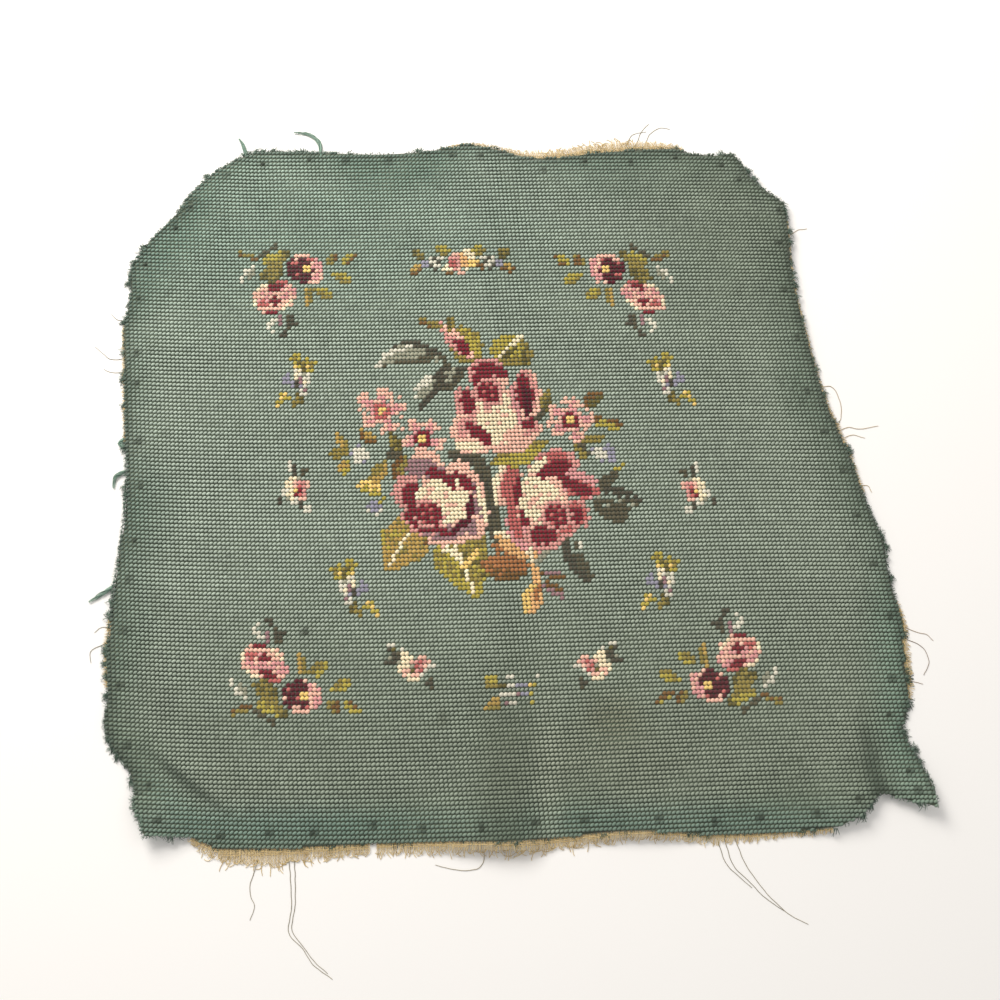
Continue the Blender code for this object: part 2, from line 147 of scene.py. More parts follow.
@dataclass(frozen=True)
class Needle:
    """Draws shapes on a chart from a motif's own middle, mirrored where the motif is."""

    chart: Chart
    column: float
    row: float
    across: int = 1
    down: int = 1

    def offsets(self, place: tuple[float, float]) -> tuple[np.ndarray, np.ndarray]:
        """How far each stitch of the chart is from a place in the motif, in the motif's own directions.

        Args:
            place: The place.

        Returns:
            The distances across and down, each in the chart's own grid.
        """
        dx = self.across * (self.chart.column - self.column) - place[0]
        dy = self.down * (self.chart.row - self.row) - place[1]
        return dx, dy

    def oval(
        self,
        place: tuple[float, float],
        size: tuple[float, float],
        wool: Wool,
        turn: float = 0.0,
        waver: float = 0.12,
    ) -> None:
        """Fills an oval.

        Args:
            place: Its middle.
            size: Its half width and half height.
            wool: What it is worked in.
            turn: Degrees that it is turned clockwise.
            waver: How uneven its edge is.
        """
        dx, dy = self.offsets(place)
        cos, sin = math.cos(math.radians(turn)), math.sin(math.radians(turn))
        u, v = dx * cos + dy * sin, dy * cos - dx * sin
        reach = (u / size[0]) ** 2 + (v / size[1]) ** 2
        self.chart.fill(reach + waver * self.chart.waver <= 1, wool)

    def leaf(
        self,
        base: tuple[float, float],
        tip: tuple[float, float],
        width: float,
        lit: Wool,
        shade: Wool,
        bend: float = 0.0,
        belly: float = 1.0,
    ) -> None:
        """Fills a leaf, one wool on each side of its vein.

        Args:
            base: Where it leaves its stem.
            tip: Its point.
            width: Its half width at the widest.
            lit: The wool to the left of the vein, seen from base to tip.
            shade: The wool to the right.
            bend: How far its middle bows to the left.
            belly: Under 1, it is widest nearer its base.
        """
        dx, dy = self.offsets(base)
        length = math.dist(base, tip)
        ux, uy = (tip[0] - base[0]) / length, (tip[1] - base[1]) / length
        along = (dx * ux + dy * uy) / length
        inside = np.clip(along, 0, 1)
        aside = dx * uy - dy * ux - bend * np.sin(math.pi * inside)
        edge = width * np.sin(math.pi * inside**belly) ** 0.85 + 0.35
        body = (along > -0.02) & (along < 1.02) & (np.abs(aside) + 0.2 * self.chart.waver <= edge)
        uneven = aside + 0.7 * self.chart.waver
        self.chart.fill(body & (uneven >= 0), lit)
        self.chart.fill(body & (uneven < 0), shade)

    def stroke(self, places: list[tuple[float, float]], wool: Wool, width: float = 0.55) -> None:
        """Works a line through some places.

        Args:
            places: The places, in order.
            wool: What it is worked in.
            width: Its half width.
        """
        for a, b in zip(places, places[1:]):
            dx, dy = self.offsets(a)
            run_x, run_y = b[0] - a[0], b[1] - a[1]
            t = np.clip((dx * run_x + dy * run_y) / (run_x**2 + run_y**2), 0, 1)
            self.chart.fill(np.hypot(dx - t * run_x, dy - t * run_y) <= width, wool)

    def spots(self, places: list[tuple[float, float]], wool: Wool) -> None:
        """Works single stitches at a few places.

        Args:
            places: The places.
            wool: What they are worked in.
        """
        for x, y in places:
            column = round(self.column + self.across * x) + self.chart.half
            row = round(self.row + self.down * y) + self.chart.half
            self.chart.wool[row, column] = WOOLS.index(wool)

    def flecks(
        self,
        place: tuple[float, float],
        size: tuple[float, float],
        wool: Wool,
        share: float,
        turn: float = 0.0,
    ) -> None:
        """Works single stitches strewn over an oval.

        Args:
            place: Its middle.
            size: Its half width and half height.
            wool: What they are worked in.
            share: How many of its stitches they take, from 0 to 1.
            turn: Degrees that it is turned clockwise.
        """
        dx, dy = self.offsets(place)
        cos, sin = math.cos(math.radians(turn)), math.sin(math.radians(turn))
        u, v = dx * cos + dy * sin, dy * cos - dx * sin
        inside = (u / size[0]) ** 2 + (v / size[1]) ** 2 <= 1
        self.chart.fill(inside & (self.chart.waver > 1 - 2 * share), wool)


@dataclass(frozen=True)
class Patch:
    """An oval of one wool in a rose, by its place from the rose's middle and its half sizes."""

    x: float
    y: float
    wide: float
    high: float
    wool: Wool
    turn: float = 0.0

    def work(self, needle: Needle) -> None:
        """Works the patch."""
        needle.oval((self.x, self.y), (self.wide, self.high), self.wool, self.turn, 0.22)


@dataclass(frozen=True)
class Rose:
    """A full-blown rose: petals with pale rims, dark folds between them, a pale heart and a dark eye."""

    column: float
    row: float
    petals: tuple[Patch, ...]
    heart: tuple[Patch, ...]
    folds: tuple[Patch, ...]
    eye: tuple[float, float]
    eye_size: float = 2.7

    def work(self, chart: Chart) -> None:
        """Works the rose on a chart, from the outer petals in.

        Args:
            chart: The chart.
        """
        needle = Needle(chart, self.column, self.row)
        for patch in (*self.petals, *self.heart):
            patch.work(needle)
        pale = self.heart[1]
        needle.flecks((pale.x, pale.y), (pale.wide, pale.high), Wool.BLUSH, 0.2, pale.turn)
        for patch in self.folds:
            patch.work(needle)
        x, y = self.eye
        needle.oval(self.eye, (self.eye_size + 1.0, self.eye_size + 0.9), Wool.DUSTY_ROSE, waver=0.3)
        needle.oval(self.eye, (self.eye_size, self.eye_size), Wool.BURGUNDY)
        needle.spots([(x - 1, y), (x + 1, y + 1), (x, y - 2), (x + 1, y - 1), (x - 1, y + 2)], Wool.ROSE)


TOP_ROSE = Rose(
    1.8, -23.4, (
        Patch(-1.2, -8.0, 5.2, 4.4, Wool.DUSTY_ROSE),
        Patch(7.9, -3.0, 3.5, 6.2, Wool.BLUSH, 3),
        Patch(7.5, -3.8, 3.1, 5.2, Wool.DUSTY_ROSE, 3),
        Patch(-7.4, -0.4, 3.1, 4.6, Wool.DUSTY_ROSE),
        Patch(-7.6, 6.0, 4.2, 4.2, Wool.BLUSH, 20),
        Patch(-6.4, 6.2, 4.2, 4.0, Wool.DUSTY_ROSE, 20),
        Patch(-6.8, 9.6, 5.2, 2.3, Wool.BLUSH),
        Patch(-7.6, 10.0, 3.6, 1.5, Wool.CREAM),
        Patch(1.4, 9.4, 6.6, 2.8, Wool.BLUSH),
        Patch(6.9, 6.2, 3.5, 3.0, Wool.BLUSH),
        Patch(6.7, 5.4, 3.0, 2.4, Wool.DUSTY_ROSE),
    ), (
        Patch(0.4, 2.6, 6.4, 8.4, Wool.BLUSH, -6),
        Patch(-0.2, 3.2, 5.0, 7.2, Wool.CREAM, -6),
        Patch(4.9, -0.4, 1.1, 5.0, Wool.PINK, -6),
        Patch(3.4, 7.6, 2.6, 2.0, Wool.BLUSH, -30),
    ), (
        Patch(-0.4, -8.2, 4.6, 2.8, Wool.BURGUNDY, 6),
        Patch(-4.4, -6.6, 1.2, 2.6, Wool.BURGUNDY, 18),
        Patch(-1.0, -5.6, 3.7, 2.0, Wool.DUSTY_ROSE),
        Patch(0.6, -5.6, 3.2, 1.6, Wool.BLUSH),
        Patch(7.3, -2.6, 2.2, 4.9, Wool.BURGUNDY, 2),
        Patch(7.6, -1.4, 1.4, 3.6, Wool.PLUM, 0),
        Patch(-7.2, -0.9, 1.8, 2.8, Wool.BURGUNDY),
        Patch(-5.2, 7.0, 3.9, 1.6, Wool.BURGUNDY, 42),
        Patch(7.4, 4.7, 1.9, 1.2, Wool.BURGUNDY, -20),
    ), (-1.9, -3.5),
)
LEFT_ROSE = Rose(
    -14.6, -0.1, (
        Patch(-2.0, -9.0, 4.2, 3.6, Wool.BLUSH, 20),
        Patch(-3.0, -7.6, 4.6, 2.8, Wool.MAUVE, 12),
        Patch(5.8, -6.6, 3.8, 3.0, Wool.BLUSH, 38),
        Patch(-7.8, -2.2, 3.6, 4.4, Wool.DUSTY_ROSE),
        Patch(8.8, 0.6, 2.6, 7.8, Wool.BLUSH, -4),
        Patch(9.4, 2.0, 1.4, 6.0, Wool.CREAM, -4),
        Patch(7.6, 1.6, 2.0, 6.6, Wool.MAUVE, -2),
        Patch(7.2, 6.8, 3.3, 3.0, Wool.BLUSH),
        Patch(6.4, 6.6, 2.2, 2.6, Wool.MAUVE),
        Patch(1.0, 8.4, 5.8, 2.6, Wool.BLUSH),
        Patch(0.4, 7.6, 5.4, 2.2, Wool.MAUVE),
        Patch(-5.0, 4.2, 4.8, 4.0, Wool.DUSTY_ROSE, 28),
    ), (
        Patch(1.4, -0.4, 7.1, 6.6, Wool.BLUSH, 30),
        Patch(1.5, -0.2, 6.1, 5.6, Wool.CREAM, 30),
        Patch(-3.2, -1.6, 2.8, 2.4, Wool.CREAM),
    ), (
        Patch(0.4, -6.4, 3.9, 1.3, Wool.BURGUNDY, 16),
        Patch(3.2, -4.6, 1.1, 1.9, Wool.BURGUNDY, -20),
        Patch(6.4, -4.6, 3.4, 1.1, Wool.BURGUNDY, 50),
        Patch(-7.2, -2.0, 1.9, 2.6, Wool.BURGUNDY, 20),
        Patch(-4.4, 4.0, 4.2, 3.1, Wool.BURGUNDY, 28),
        Patch(7.0, 2.2, 0.9, 3.4, Wool.PLUM, 12),
        Patch(4.2, 6.3, 2.9, 0.9, Wool.PLUM, -38),
        Patch(0.2, 7.6, 2.4, 0.8, Wool.BURGUNDY, 10),
    ), (-3.0, 3.1),
)
RIGHT_ROSE = Rose(
    10.3, 1.0, (
        Patch(-9.3, -4.2, 2.5, 5.2, Wool.CREAM, 10),
        Patch(-8.2, -3.9, 2.4, 4.8, Wool.BLUSH, 10),
        Patch(-6.8, -3.6, 2.8, 5.4, Wool.ROSE, 6),
        Patch(3.8, -9.2, 5.8, 4.2, Wool.DUSTY_ROSE, -14),
        Patch(3.8, -8.8, 5.0, 3.4, Wool.ROSE, -14),
        Patch(-0.2, -9.0, 3.0, 1.0, Wool.CREAM, -38),
        Patch(9.0, -4.4, 4.8, 3.6, Wool.PINK, 26),
        Patch(8.6, -3.4, 3.7, 2.4, Wool.ROSE, 26),
        Patch(12.6, -2.4, 1.5, 1.2, Wool.ROSE),
        Patch(7.8, 2.8, 3.2, 3.6, Wool.DUSTY_ROSE),
        Patch(7.4, 2.8, 2.8, 3.2, Wool.ROSE),
        Patch(-5.8, 5.8, 3.8, 5.8, Wool.PINK, -8),
        Patch(-7.2, 4.4, 1.5, 4.4, Wool.ROSE, -6),
        Patch(-1.0, 8.4, 4.6, 3.6, Wool.DUSTY_ROSE),
        Patch(3.8, 7.0, 4.4, 2.2, Wool.DUSTY_ROSE, -24),
    ), (
        Patch(-0.3, -0.4, 6.5, 7.6, Wool.BLUSH, -10),
        Patch(-0.6, 0.0, 5.3, 6.7, Wool.CREAM, -10),
    ), (
        Patch(3.6, -8.0, 4.6, 1.6, Wool.BURGUNDY, -16),
        Patch(5.0, -9.6, 2.4, 1.3, Wool.BURGUNDY, -10),
        Patch(-5.8, -3.4, 0.9, 3.4, Wool.BURGUNDY, 14),
        Patch(-5.2, 3.4, 0.7, 2.8, Wool.BURGUNDY, -16),
        Patch(8.8, -3.6, 3.7, 1.5, Wool.BURGUNDY, 24),
        Patch(6.4, -5.6, 1.8, 1.0, Wool.BURGUNDY, 10),
        Patch(-0.6, 7.8, 3.1, 2.4, Wool.BURGUNDY),
        Patch(7.6, 3.2, 1.8, 1.9, Wool.BURGUNDY),
        Patch(4.6, 6.6, 2.4, 0.9, Wool.ROSE, -30),
    ), (2.8, 3.3),
)


WOOL_LETTERS = {
    "w": Wool.WHITE, "c": Wool.CREAM, "y": Wool.YELLOW, "g": Wool.GOLD, "h": Wool.CHARTREUSE, "o": Wool.OLIVE,
    "m": Wool.MOSS, "v": Wool.LAVENDER, "u": Wool.MAUVE, "s": Wool.SLATE, "f": Wool.FERN, "a": Wool.ASH,
    "p": Wool.BLUSH, "d": Wool.DUSTY_ROSE, "r": Wool.ROSE, "R": Wool.BURGUNDY,
}


@dataclass(frozen=True)
class Sprig:
    """A small repeat given as a chart, a letter for each stitch's wool and a dot for the ground."""

    first_column: int
    first_row: int
    rows: tuple[str, ...]

    def work(self, needle: Needle) -> None:
        """Works the sprig.

        Args:
            needle: The needle, at the sprig's middle.
        """
        for number, row in enumerate(self.rows):
            for place, letter in enumerate(row):
                if letter in WOOL_LETTERS:
                    spot = (self.first_column + place, self.first_row + number)
                    needle.spots([spot], WOOL_LETTERS[letter])


PALE_SPRIG = Sprig(-6, -6, (
    ".....hh....",
    "....hoh.h..",
    ".....hmohoh",
    ".....yhmyo.",
    ".....wcmhh.",
    "...v.cwaw..",
    "..vv.cuww..",
    "..vvvsucw..",
    "....vsvw...",
    "......wu...",
    ".hy..mww...",
    ".yhh.om....",
    "hh..oom....",
    "y...o......",
))
PINK_SPRIG = Sprig(-5, -4, (
    ".ww.........",
    ".sm.w.......",
    "..sfcc......",
    ".assccc.pp..",
    "sssaccpdrdp.",
    "...cccardpww",
    "...cppmdrw..",
    "....pcppw...",
    ".....ccc..f.",
    ".........ss.",
    "..........f.",
))
PINK_SIDE_SPRIG = Sprig(-4, -6, (
    "...w....",
    "...ws...",
    "...ws.ff",
    "....s.f.",
    "...cca..",
    "..ccpddp",
    "..ccprdp",
    ".wwcyRd.",
    ".wccRrd.",
    "s.acwpp.",
    "s..wws..",
    ".....sww",
    "......ww",
))


@dataclass(frozen=True)
class StarFlower:
    """A small five-petalled flower."""

    column: float
    row: float
    reach: float = 5.4
    turn: float = 0.0
    petal: Wool = Wool.PINK
    tip: Wool = Wool.BLUSH
    heart: Wool = Wool.BURGUNDY
    eye: Wool = Wool.YELLOW

    def work(self, chart: Chart) -> None:
        """Works the flower on a chart: petals with pale tips, then its heart and its eye.

        Args:
            chart: The chart.
        """
        needle = Needle(chart, self.column, self.row)
        for shrink, wool in ((0.0, self.tip), (1.0, self.petal)):
            for number in range(5):
                bearing = self.turn + 72 * number
                angle = math.radians(bearing)
                reach = 0.58 * self.reach - 0.6 * shrink
                size = (0.25 * self.reach - 0.3 * shrink, 0.47 * self.reach - 0.4 * shrink)
                needle.oval((reach * math.sin(angle), -reach * math.cos(angle)), size, wool, bearing)
        needle.flecks((0, 0), (self.reach, self.reach), self.tip, 0.3)
        needle.oval((0, 0), (2.1, 2.1), self.heart)
        needle.oval((0, 0), (1.1, 1.1), self.eye, waver=0.0)


class Design:
    """The whole design: a bouquet of three roses, a spray in each corner, and small sprigs between them."""

    def __init__(self) -> None:
        """Starts an empty chart."""
        self.chart = Chart()

    def bouquet_leaves(self) -> None:
        """Works the leaves and buds that stand out round the roses."""
        pen = Needle(self.chart, 0, 0)
        pen.leaf((-9.4, -35.8), (-26.6, -34.2), 2.6, Wool.FERN, Wool.SLATE, -2.6)
        pen.leaf((-15, -37.4), (-26.4, -34.8), 1.5, Wool.ASH, Wool.ASH, -1.2)
        pen.stroke([(-18, -38.6), (-22, -38.2), (-25, -36.4), (-26.6, -34.0)], Wool.WHITE)
        pen.flecks((-16, -36.6), (6, 2.2), Wool.ASH, 0.25)
        pen.stroke([(-10, -34.6), (-7, -32.4)], Wool.FERN)
        pen.leaf((-5.0, -33.0), (-14.4, -28.2), 2.3, Wool.FERN, Wool.SLATE)
        pen.leaf((-13.4, -31.0), (-17.8, -25.8), 1.7, Wool.ASH, Wool.WHITE)
        pen.stroke([(-8, -30.4), (-13, -27.6), (-17.4, -23.0)], Wool.SLATE)
        pen.flecks((-10, -30.6), (4, 2), Wool.ASH, 0.35, -30)
        pen.oval((-4.2, -39.2), (4.2, 4.9), Wool.OLIVE, -20)
        pen.oval((-3.4, -39.4), (3.0, 3.9), Wool.CHARTREUSE, -20)
        pen.flecks((-3.6, -38.8), (3.4, 4.2), Wool.OLIVE, 0.35)
        pen.leaf((-3.2, -35.6), (-10.0, -44.8), 1.8, Wool.DUSTY_ROSE, Wool.BLUSH)
        pen.leaf((-3.4, -36.2), (-6.8, -40.8), 1.2, Wool.BURGUNDY, Wool.BURGUNDY)
        pen.leaf((-9.4, -43.4), (-15.4, -45.8), 0.8, Wool.BROWN, Wool.OLIVE)
        pen.leaf((-7.8, -43.0), (-7.6, -46.8), 0.7, Wool.MOSS, Wool.OLIVE)
        pen.oval((6.8, -37.4), (5.0, 4.1), Wool.OLIVE, -28)
        pen.oval((5.4, -38.2), (3.8, 3.0), Wool.CHARTREUSE, -28)
        pen.flecks((8.6, -37.0), (3.2, 3.4), Wool.CHARTREUSE, 0.4)
        pen.stroke([(4.0, -36.2), (7.0, -38.8), (10.0, -41.4)], Wool.CREAM)
        pen.stroke([(5.4, -35.8), (8.4, -38.4)], Wool.MOSS)
        pen.leaf((10.8, -38.4), (10.6, -33.4), 1.2, Wool.OLIVE, Wool.MOSS)
        pen.leaf((-12, -11.6), (-3.0, -9.6), 1.5, Wool.FERN, Wool.SLATE)
        pen.leaf((-4.2, -12), (-1.8, 10), 2.4, Wool.FERN, Wool.FERN)
        pen.flecks((-3.0, -1), (2.2, 10), Wool.SLATE, 0.5)
        pen.leaf((-1.0, -8.8), (12.8, -14.0), 2.9, Wool.OLIVE, Wool.CHARTREUSE)
        pen.flecks((5.0, -11.2), (5, 2.4), Wool.CHARTREUSE, 0.4, -20)
        pen.leaf((-18.4, 3.4), (-29.4, 16.2), 5.0, Wool.GOLD, Wool.GOLD, 0, 0.85)
        pen.flecks((-26.0, 8.6), (3.4, 4.2), Wool.CHARTREUSE, 0.4)
        pen.flecks((-21.6, 8.8), (3.0, 3.6), Wool.BROWN, 0.3)
        pen.flecks((-23.4, 9.6), (5.6, 5.0), Wool.OLIVE, 0.22)
        pen.stroke([(-20.4, 5.2), (-24.4, 9.6), (-28.0, 15.0)], Wool.CREAM)
        pen.leaf((-12.6, 8.0), (-7.8, 23.4), 6.2, Wool.CHARTREUSE, Wool.CHARTREUSE, 0, 0.62)
        pen.flecks((-13.4, 13.4), (4.0, 5.0), Wool.OLIVE, 0.65)
        pen.flecks((-7.4, 13.6), (3.4, 6.8), Wool.OLIVE, 0.8)
        pen.flecks((-12.2, 13.2), (3.4, 4.0), Wool.CREAM, 0.12)
        pen.flecks((-8.0, 17.0), (3.4, 5.0), Wool.MOSS, 0.2)
        pen.stroke([(-12.2, 9.4), (-11.0, 15), (-8.8, 21.6)], Wool.CREAM)
        pen.stroke([(-11.4, 13.4), (-15.4, 11.4)], Wool.CREAM)
        pen.stroke([(-10.6, 16.0), (-7.0, 12.4)], Wool.YELLOW)
        pen.leaf((5.0, 17.4), (-6.4, 15.4), 2.9, Wool.BROWN, Wool.RUST)
        pen.flecks((-0.8, 16.4), (5.0, 2.2), Wool.RUST, 0.5)
        pen.leaf((-2.4, 7.6), (8.0, 14.6), 2.4, Wool.CREAM, Wool.PEACH)
        pen.stroke([(-3.0, 10.6), (1.8, 14.4), (5.4, 16.0)], Wool.RUST)
        pen.stroke([(6.4, 9.6), (6.2, 15.0), (6.6, 20.8)], Wool.PEACH, 0.9)
        pen.stroke([(5.4, 11.6), (6.2, 14.8)], Wool.CREAM)
        pen.stroke([(7.2, 15.4), (9.6, 13.0), (12.6, 8.8)], Wool.ASH, 0.9)
        pen.leaf((6.8, 20.0), (3.0, 27.8), 2.2, Wool.PEACH, Wool.YELLOW)
        pen.stroke([(7.0, 20.6), (5.6, 24.0)], Wool.RUST)
        pen.leaf((8, 20.2), (12.6, 23.6), 1.0, Wool.BROWN, Wool.MAUVE)
        pen.leaf((7.8, 18.0), (13.0, 18.6), 0.8, Wool.MAUVE, Wool.BROWN)
        pen.leaf((15.0, 7.6), (20.4, 21.4), 2.0, Wool.FERN, Wool.SLATE, -1.6)
        pen.flecks((18.8, 15.2), (2.6, 6.4), Wool.SAGE, 0.16, -14)
        pen.flecks((16.2, 10.2), (3.0, 3.4), Wool.SAGE, 0.3)
        pen.spots([(15, 7), (16, 9), (18, 11), (18, 12), (14, 6), (13, 8)], Wool.WHITE)
        pen.leaf((22.0, -1.8), (34.4, 1.2), 2.8, Wool.SLATE, Wool.FERN, -0.8)
        pen.leaf((22.4, 0.8), (30.4, 5.6), 2.0, Wool.FERN, Wool.FERN)
        pen.leaf((24, -2), (29.0, -6.0), 1.1, Wool.FERN, Wool.FERN)
        pen.flecks((27.4, 0.6), (6.4, 3.6), Wool.SAGE, 0.22, 8)
        pen.spots([(26, 2), (29, 1), (32, 2), (24, 0)], Wool.ASH)

    def bouquet_twigs(self) -> None:
        """Works the light twigs at either side of the roses."""
        pen = Needle(self.chart, 0, 0)
        pen.leaf((-29, -14.4), (-32.4, -18), 1.1, Wool.BROWN, Wool.GOLD)
        pen.leaf((-22.6, -12), (-25, -17), 1.3, Wool.OLIVE, Wool.MOSS)
        pen.leaf((-26.5, -11), (-22.5, -12.4), 1.1, Wool.FERN, Wool.FERN)
        pen.leaf((-26.5, -10), (-31, -4.5), 1.3, Wool.GOLD, Wool.OLIVE)
        pen.leaf((-22, -11.5), (-25, -5.6), 1.6, Wool.OLIVE, Wool.BROWN)
        pen.leaf((-35.5, -12.6), (-40.6, -11.6), 1.0, Wool.OLIVE, Wool.OLIVE)
        pen.leaf((-36, -13.6), (-38.6, -17), 0.9, Wool.GOLD, Wool.OLIVE)
        pen.leaf((-36, -10.4), (-37.6, -7), 0.9, Wool.CHARTREUSE, Wool.GOLD)
        pen.oval((-33, -11.6), (2.2, 2.0), Wool.WHITE)
        pen.spots([(-35, -12), (-32, -10), (-33, -14)], Wool.LAVENDER)
        pen.leaf((-28, -2.4), (-34, -4.4), 1.2, Wool.CHARTREUSE, Wool.YELLOW)
        pen.spots([(-28, -1), (-29, 0)], Wool.CHARTREUSE)
        pen.oval((-30.4, 1.4), (2.0, 1.5), Wool.LAVENDER)
        pen.spots([(-30, 3), (-32, 2), (-29, 2)], Wool.WHITE)
        pen.leaf((12.6, -21), (15.4, -27), 1.3, Wool.OLIVE, Wool.MOSS)
        pen.leaf((11, -20), (13.4, -22.6), 0.9, Wool.FERN, Wool.FERN)
        pen.leaf((22.6, -23), (28.6, -26), 1.2, Wool.BROWN, Wool.MOSS)
        pen.leaf((24.5, -19.4), (32, -17.6), 1.2, Wool.BROWN, Wool.CHARTREUSE)
        pen.leaf((19.5, -15.4), (22.6, -9.4), 1.1, Wool.FERN, Wool.OLIVE)
        pen.leaf((21.6, -13.8), (27.6, -15.4), 0.9, Wool.OLIVE, Wool.OLIVE)
        pen.oval((25.6, -11), (1.9, 1.7), Wool.WHITE)
        pen.leaf((28, -13.6), (28.4, -8), 0.8, Wool.LAVENDER, Wool.LAVENDER)
        pen.spots([(26, -9), (24, -12), (27, -12)], Wool.LAVENDER)
        pen.spots([(29, -7), (30, -7), (31, -8)], Wool.CHARTREUSE)

    def corner_spray(self, column: float, row: float, across: int, down: int) -> None:
        """Works one corner's spray: a dark flower, a pink one, leaves to both sides and a grey floret.

        Args:
            column: The column of the dark flower's eye.
            row: Its row.
            across: 1 where the spray reaches to the left, -1 to the right.
            down: 1 where it hangs downwards, -1 upwards.
        """
        pen = Needle(self.chart, column, row, across, down)
        pen.leaf((-3.6, -4.4), (-10.8, -1.9), 1.3, Wool.OLIVE, Wool.CHARTREUSE)
        pen.spots([(-4, -5), (-4, -4), (-5, -5)], Wool.MOSS)
        pen.leaf((-5.2, -0.6), (-11.0, 1.8), 1.6, Wool.MOSS, Wool.OLIVE)
        pen.leaf((-6.6, 1.0), (-9.4, 3.4), 0.9, Wool.MOSS, Wool.OLIVE)
        pen.leaf((-11.8, -3.0), (-16.9, -4.8), 0.5, Wool.BROWN, Wool.OLIVE)
        pen.stroke([(-6.9, -6.5), (-10.7, -3.9)], Wool.FERN)
        pen.spots([(-13, 1), (-14, 1), (-14, 2), (-13, 0)], Wool.ASH)
        pen.spots([(-13, -1), (-14, 0), (-15, 0), (-15, 1), (-16, 2), (-16, 3)], Wool.WHITE)
        pen.leaf((6.4, -1.2), (7.8, -4.6), 0.9, Wool.OLIVE, Wool.BROWN)
        pen.leaf((9.2, -1.4), (13.2, -4.4), 0.8, Wool.CHARTREUSE, Wool.BROWN)
        pen.leaf((6.6, 0.6), (11.7, 3.3), 1.0, Wool.CHARTREUSE, Wool.OLIVE)
        pen.leaf((0.5, 4.0), (0.3, 9.2), 0.9, Wool.OLIVE, Wool.GOLD)
        pen.leaf((2.2, 4.5), (6.5, 7.0), 1.1, Wool.CHARTREUSE, Wool.OLIVE)
        pen.leaf((-4.6, 11.2), (-5.0, 15.0), 0.7, Wool.SLATE, Wool.FERN)
        pen.spots([(-4, 14), (-3, 14), (-6, 16), (-7, 17), (-6, 17)], Wool.SLATE)
        pen.stroke([(-7.2, 11.8), (-7.4, 14.2)], Wool.MAUVE)
        pen.spots([(-8, 13), (-9, 14), (-9, 13), (-10, 14), (-9, 16), (-10, 15)], Wool.WHITE)
        pen.oval((-8.3, 7.3), (5.4, 3.9), Wool.BLUSH, -14)
        pen.spots([(-12, 5), (-11, 4), (-10, 4), (-13, 9), (-13, 8), (-5, 9), (-4, 8), (-6, 10)], Wool.CREAM)
        pen.flecks((-9.4, 7.0), (3.2, 2.6), Wool.PINK, 0.35)
        pen.oval((-4.7, 5.7), (2.2, 1.8), Wool.PINK, -20)
        pen.flecks((-4.7, 5.7), (2.2, 1.8), Wool.BLUSH, 0.3)
        pen.oval((-5.6, 2.9), (1.5, 0.8), Wool.ROSE)
        pen.oval((-8.0, 4.5), (1.3, 0.8), Wool.BURGUNDY)
        pen.spots([(-6, 4), (-7, 4)], Wool.BURGUNDY)
        pen.oval((-7.9, 8.1), (1.2, 1.1), Wool.BURGUNDY)
        pen.spots([(-11, 8), (-11, 9), (-10, 9), (-12, 9)], Wool.ROSE)
        pen.oval((-9.1, 10.9), (1.2, 0.7), Wool.BURGUNDY)
        pen.oval((0.2, -0.6), (4.4, 3.9), Wool.BLUSH)
        pen.oval((0.0, -0.4), (3.8, 3.4), Wool.ROSE)
        pen.flecks((-1.2, -0.4), (3.2, 3.4), Wool.PLUM, 0.4)
        pen.oval((2.9, -0.4), (1.4, 3.2), Wool.PINK)
        pen.flecks((3.0, -0.4), (1.6, 3.4), Wool.BLUSH, 0.4)
        pen.oval((-1.2, -3.6), (1.4, 0.9), Wool.BLUSH)
        pen.oval((-0.2, -2.2), (1.8, 0.9), Wool.PLUM)
        pen.oval((-2.3, -0.2), (1.8, 1.1), Wool.PLUM)
        pen.oval((0.2, 0.4), (1.9, 1.6), Wool.PLUM)
        pen.oval((-0.3, 2.1), (1.7, 1.1), Wool.PLUM)
        pen.spots([(0, 0), (1, -1), (0, -1), (1, 0)], Wool.YELLOW)

    def long_sprig(self, column: float, row: float) -> None:
        """Works the sprig at the top: two florets in the middle, pale ones beside them, and leaf ends.

        Args:
            column: The column of its middle.
            row: Its row.
        """
        for across in (-1, 1):
            pen = Needle(self.chart, column, row, across)
            pen.leaf((9.4, -0.8), (12.6, -2.8), 0.9, Wool.OLIVE, Wool.MOSS)
            pen.leaf((9.8, 1.2), (13.2, 2.8), 0.9, Wool.GOLD, Wool.BROWN)
            pen.oval((7.0, 0.2), (1.8, 1.9), Wool.WHITE)
            pen.spots([(9, 1), (10, 0), (10, 1), (9, 0)], Wool.LAVENDER)
            pen.spots([(7, -1), (6, 0), (8, 1), (7, 2)], Wool.SLATE)
            pen.spots([(5, -1), (5, 2)], Wool.WHITE)
            pen.leaf((3.0, -2.0), (6.0, -3.6), 1.0, Wool.CHARTREUSE, Wool.OLIVE)
        pen = Needle(self.chart, column, row)
        pen.spots([(-4, 1), (-5, 2), (-4, 2), (-3, 2)], Wool.CREAM)
        pen.spots([(4, 1), (5, 2), (5, 1), (-4, 3), (-3, 3)], Wool.BROWN)
        pen.oval((-1.6, 0.0), (1.5, 2.6), Wool.DUSTY_ROSE, -10)
        pen.spots([(-3, 0), (-2, 1), (-3, 1), (-2, 0)], Wool.ROSE)
        pen.spots([(-1, 2), (0, 3), (-1, 3), (-2, -2), (-1, -2)], Wool.BLUSH)
        pen.oval((0.6, -0.2), (1.3, 1.7), Wool.PEACH)
        pen.oval((1.8, -2.0), (1.5, 1.2), Wool.CREAM)
        pen.spots([(2, 1), (3, 1), (4, 0), (3, 0), (2, 0)], Wool.YELLOW)
        pen.spots([(1, 2), (2, -1), (3, -1)], Wool.CREAM)

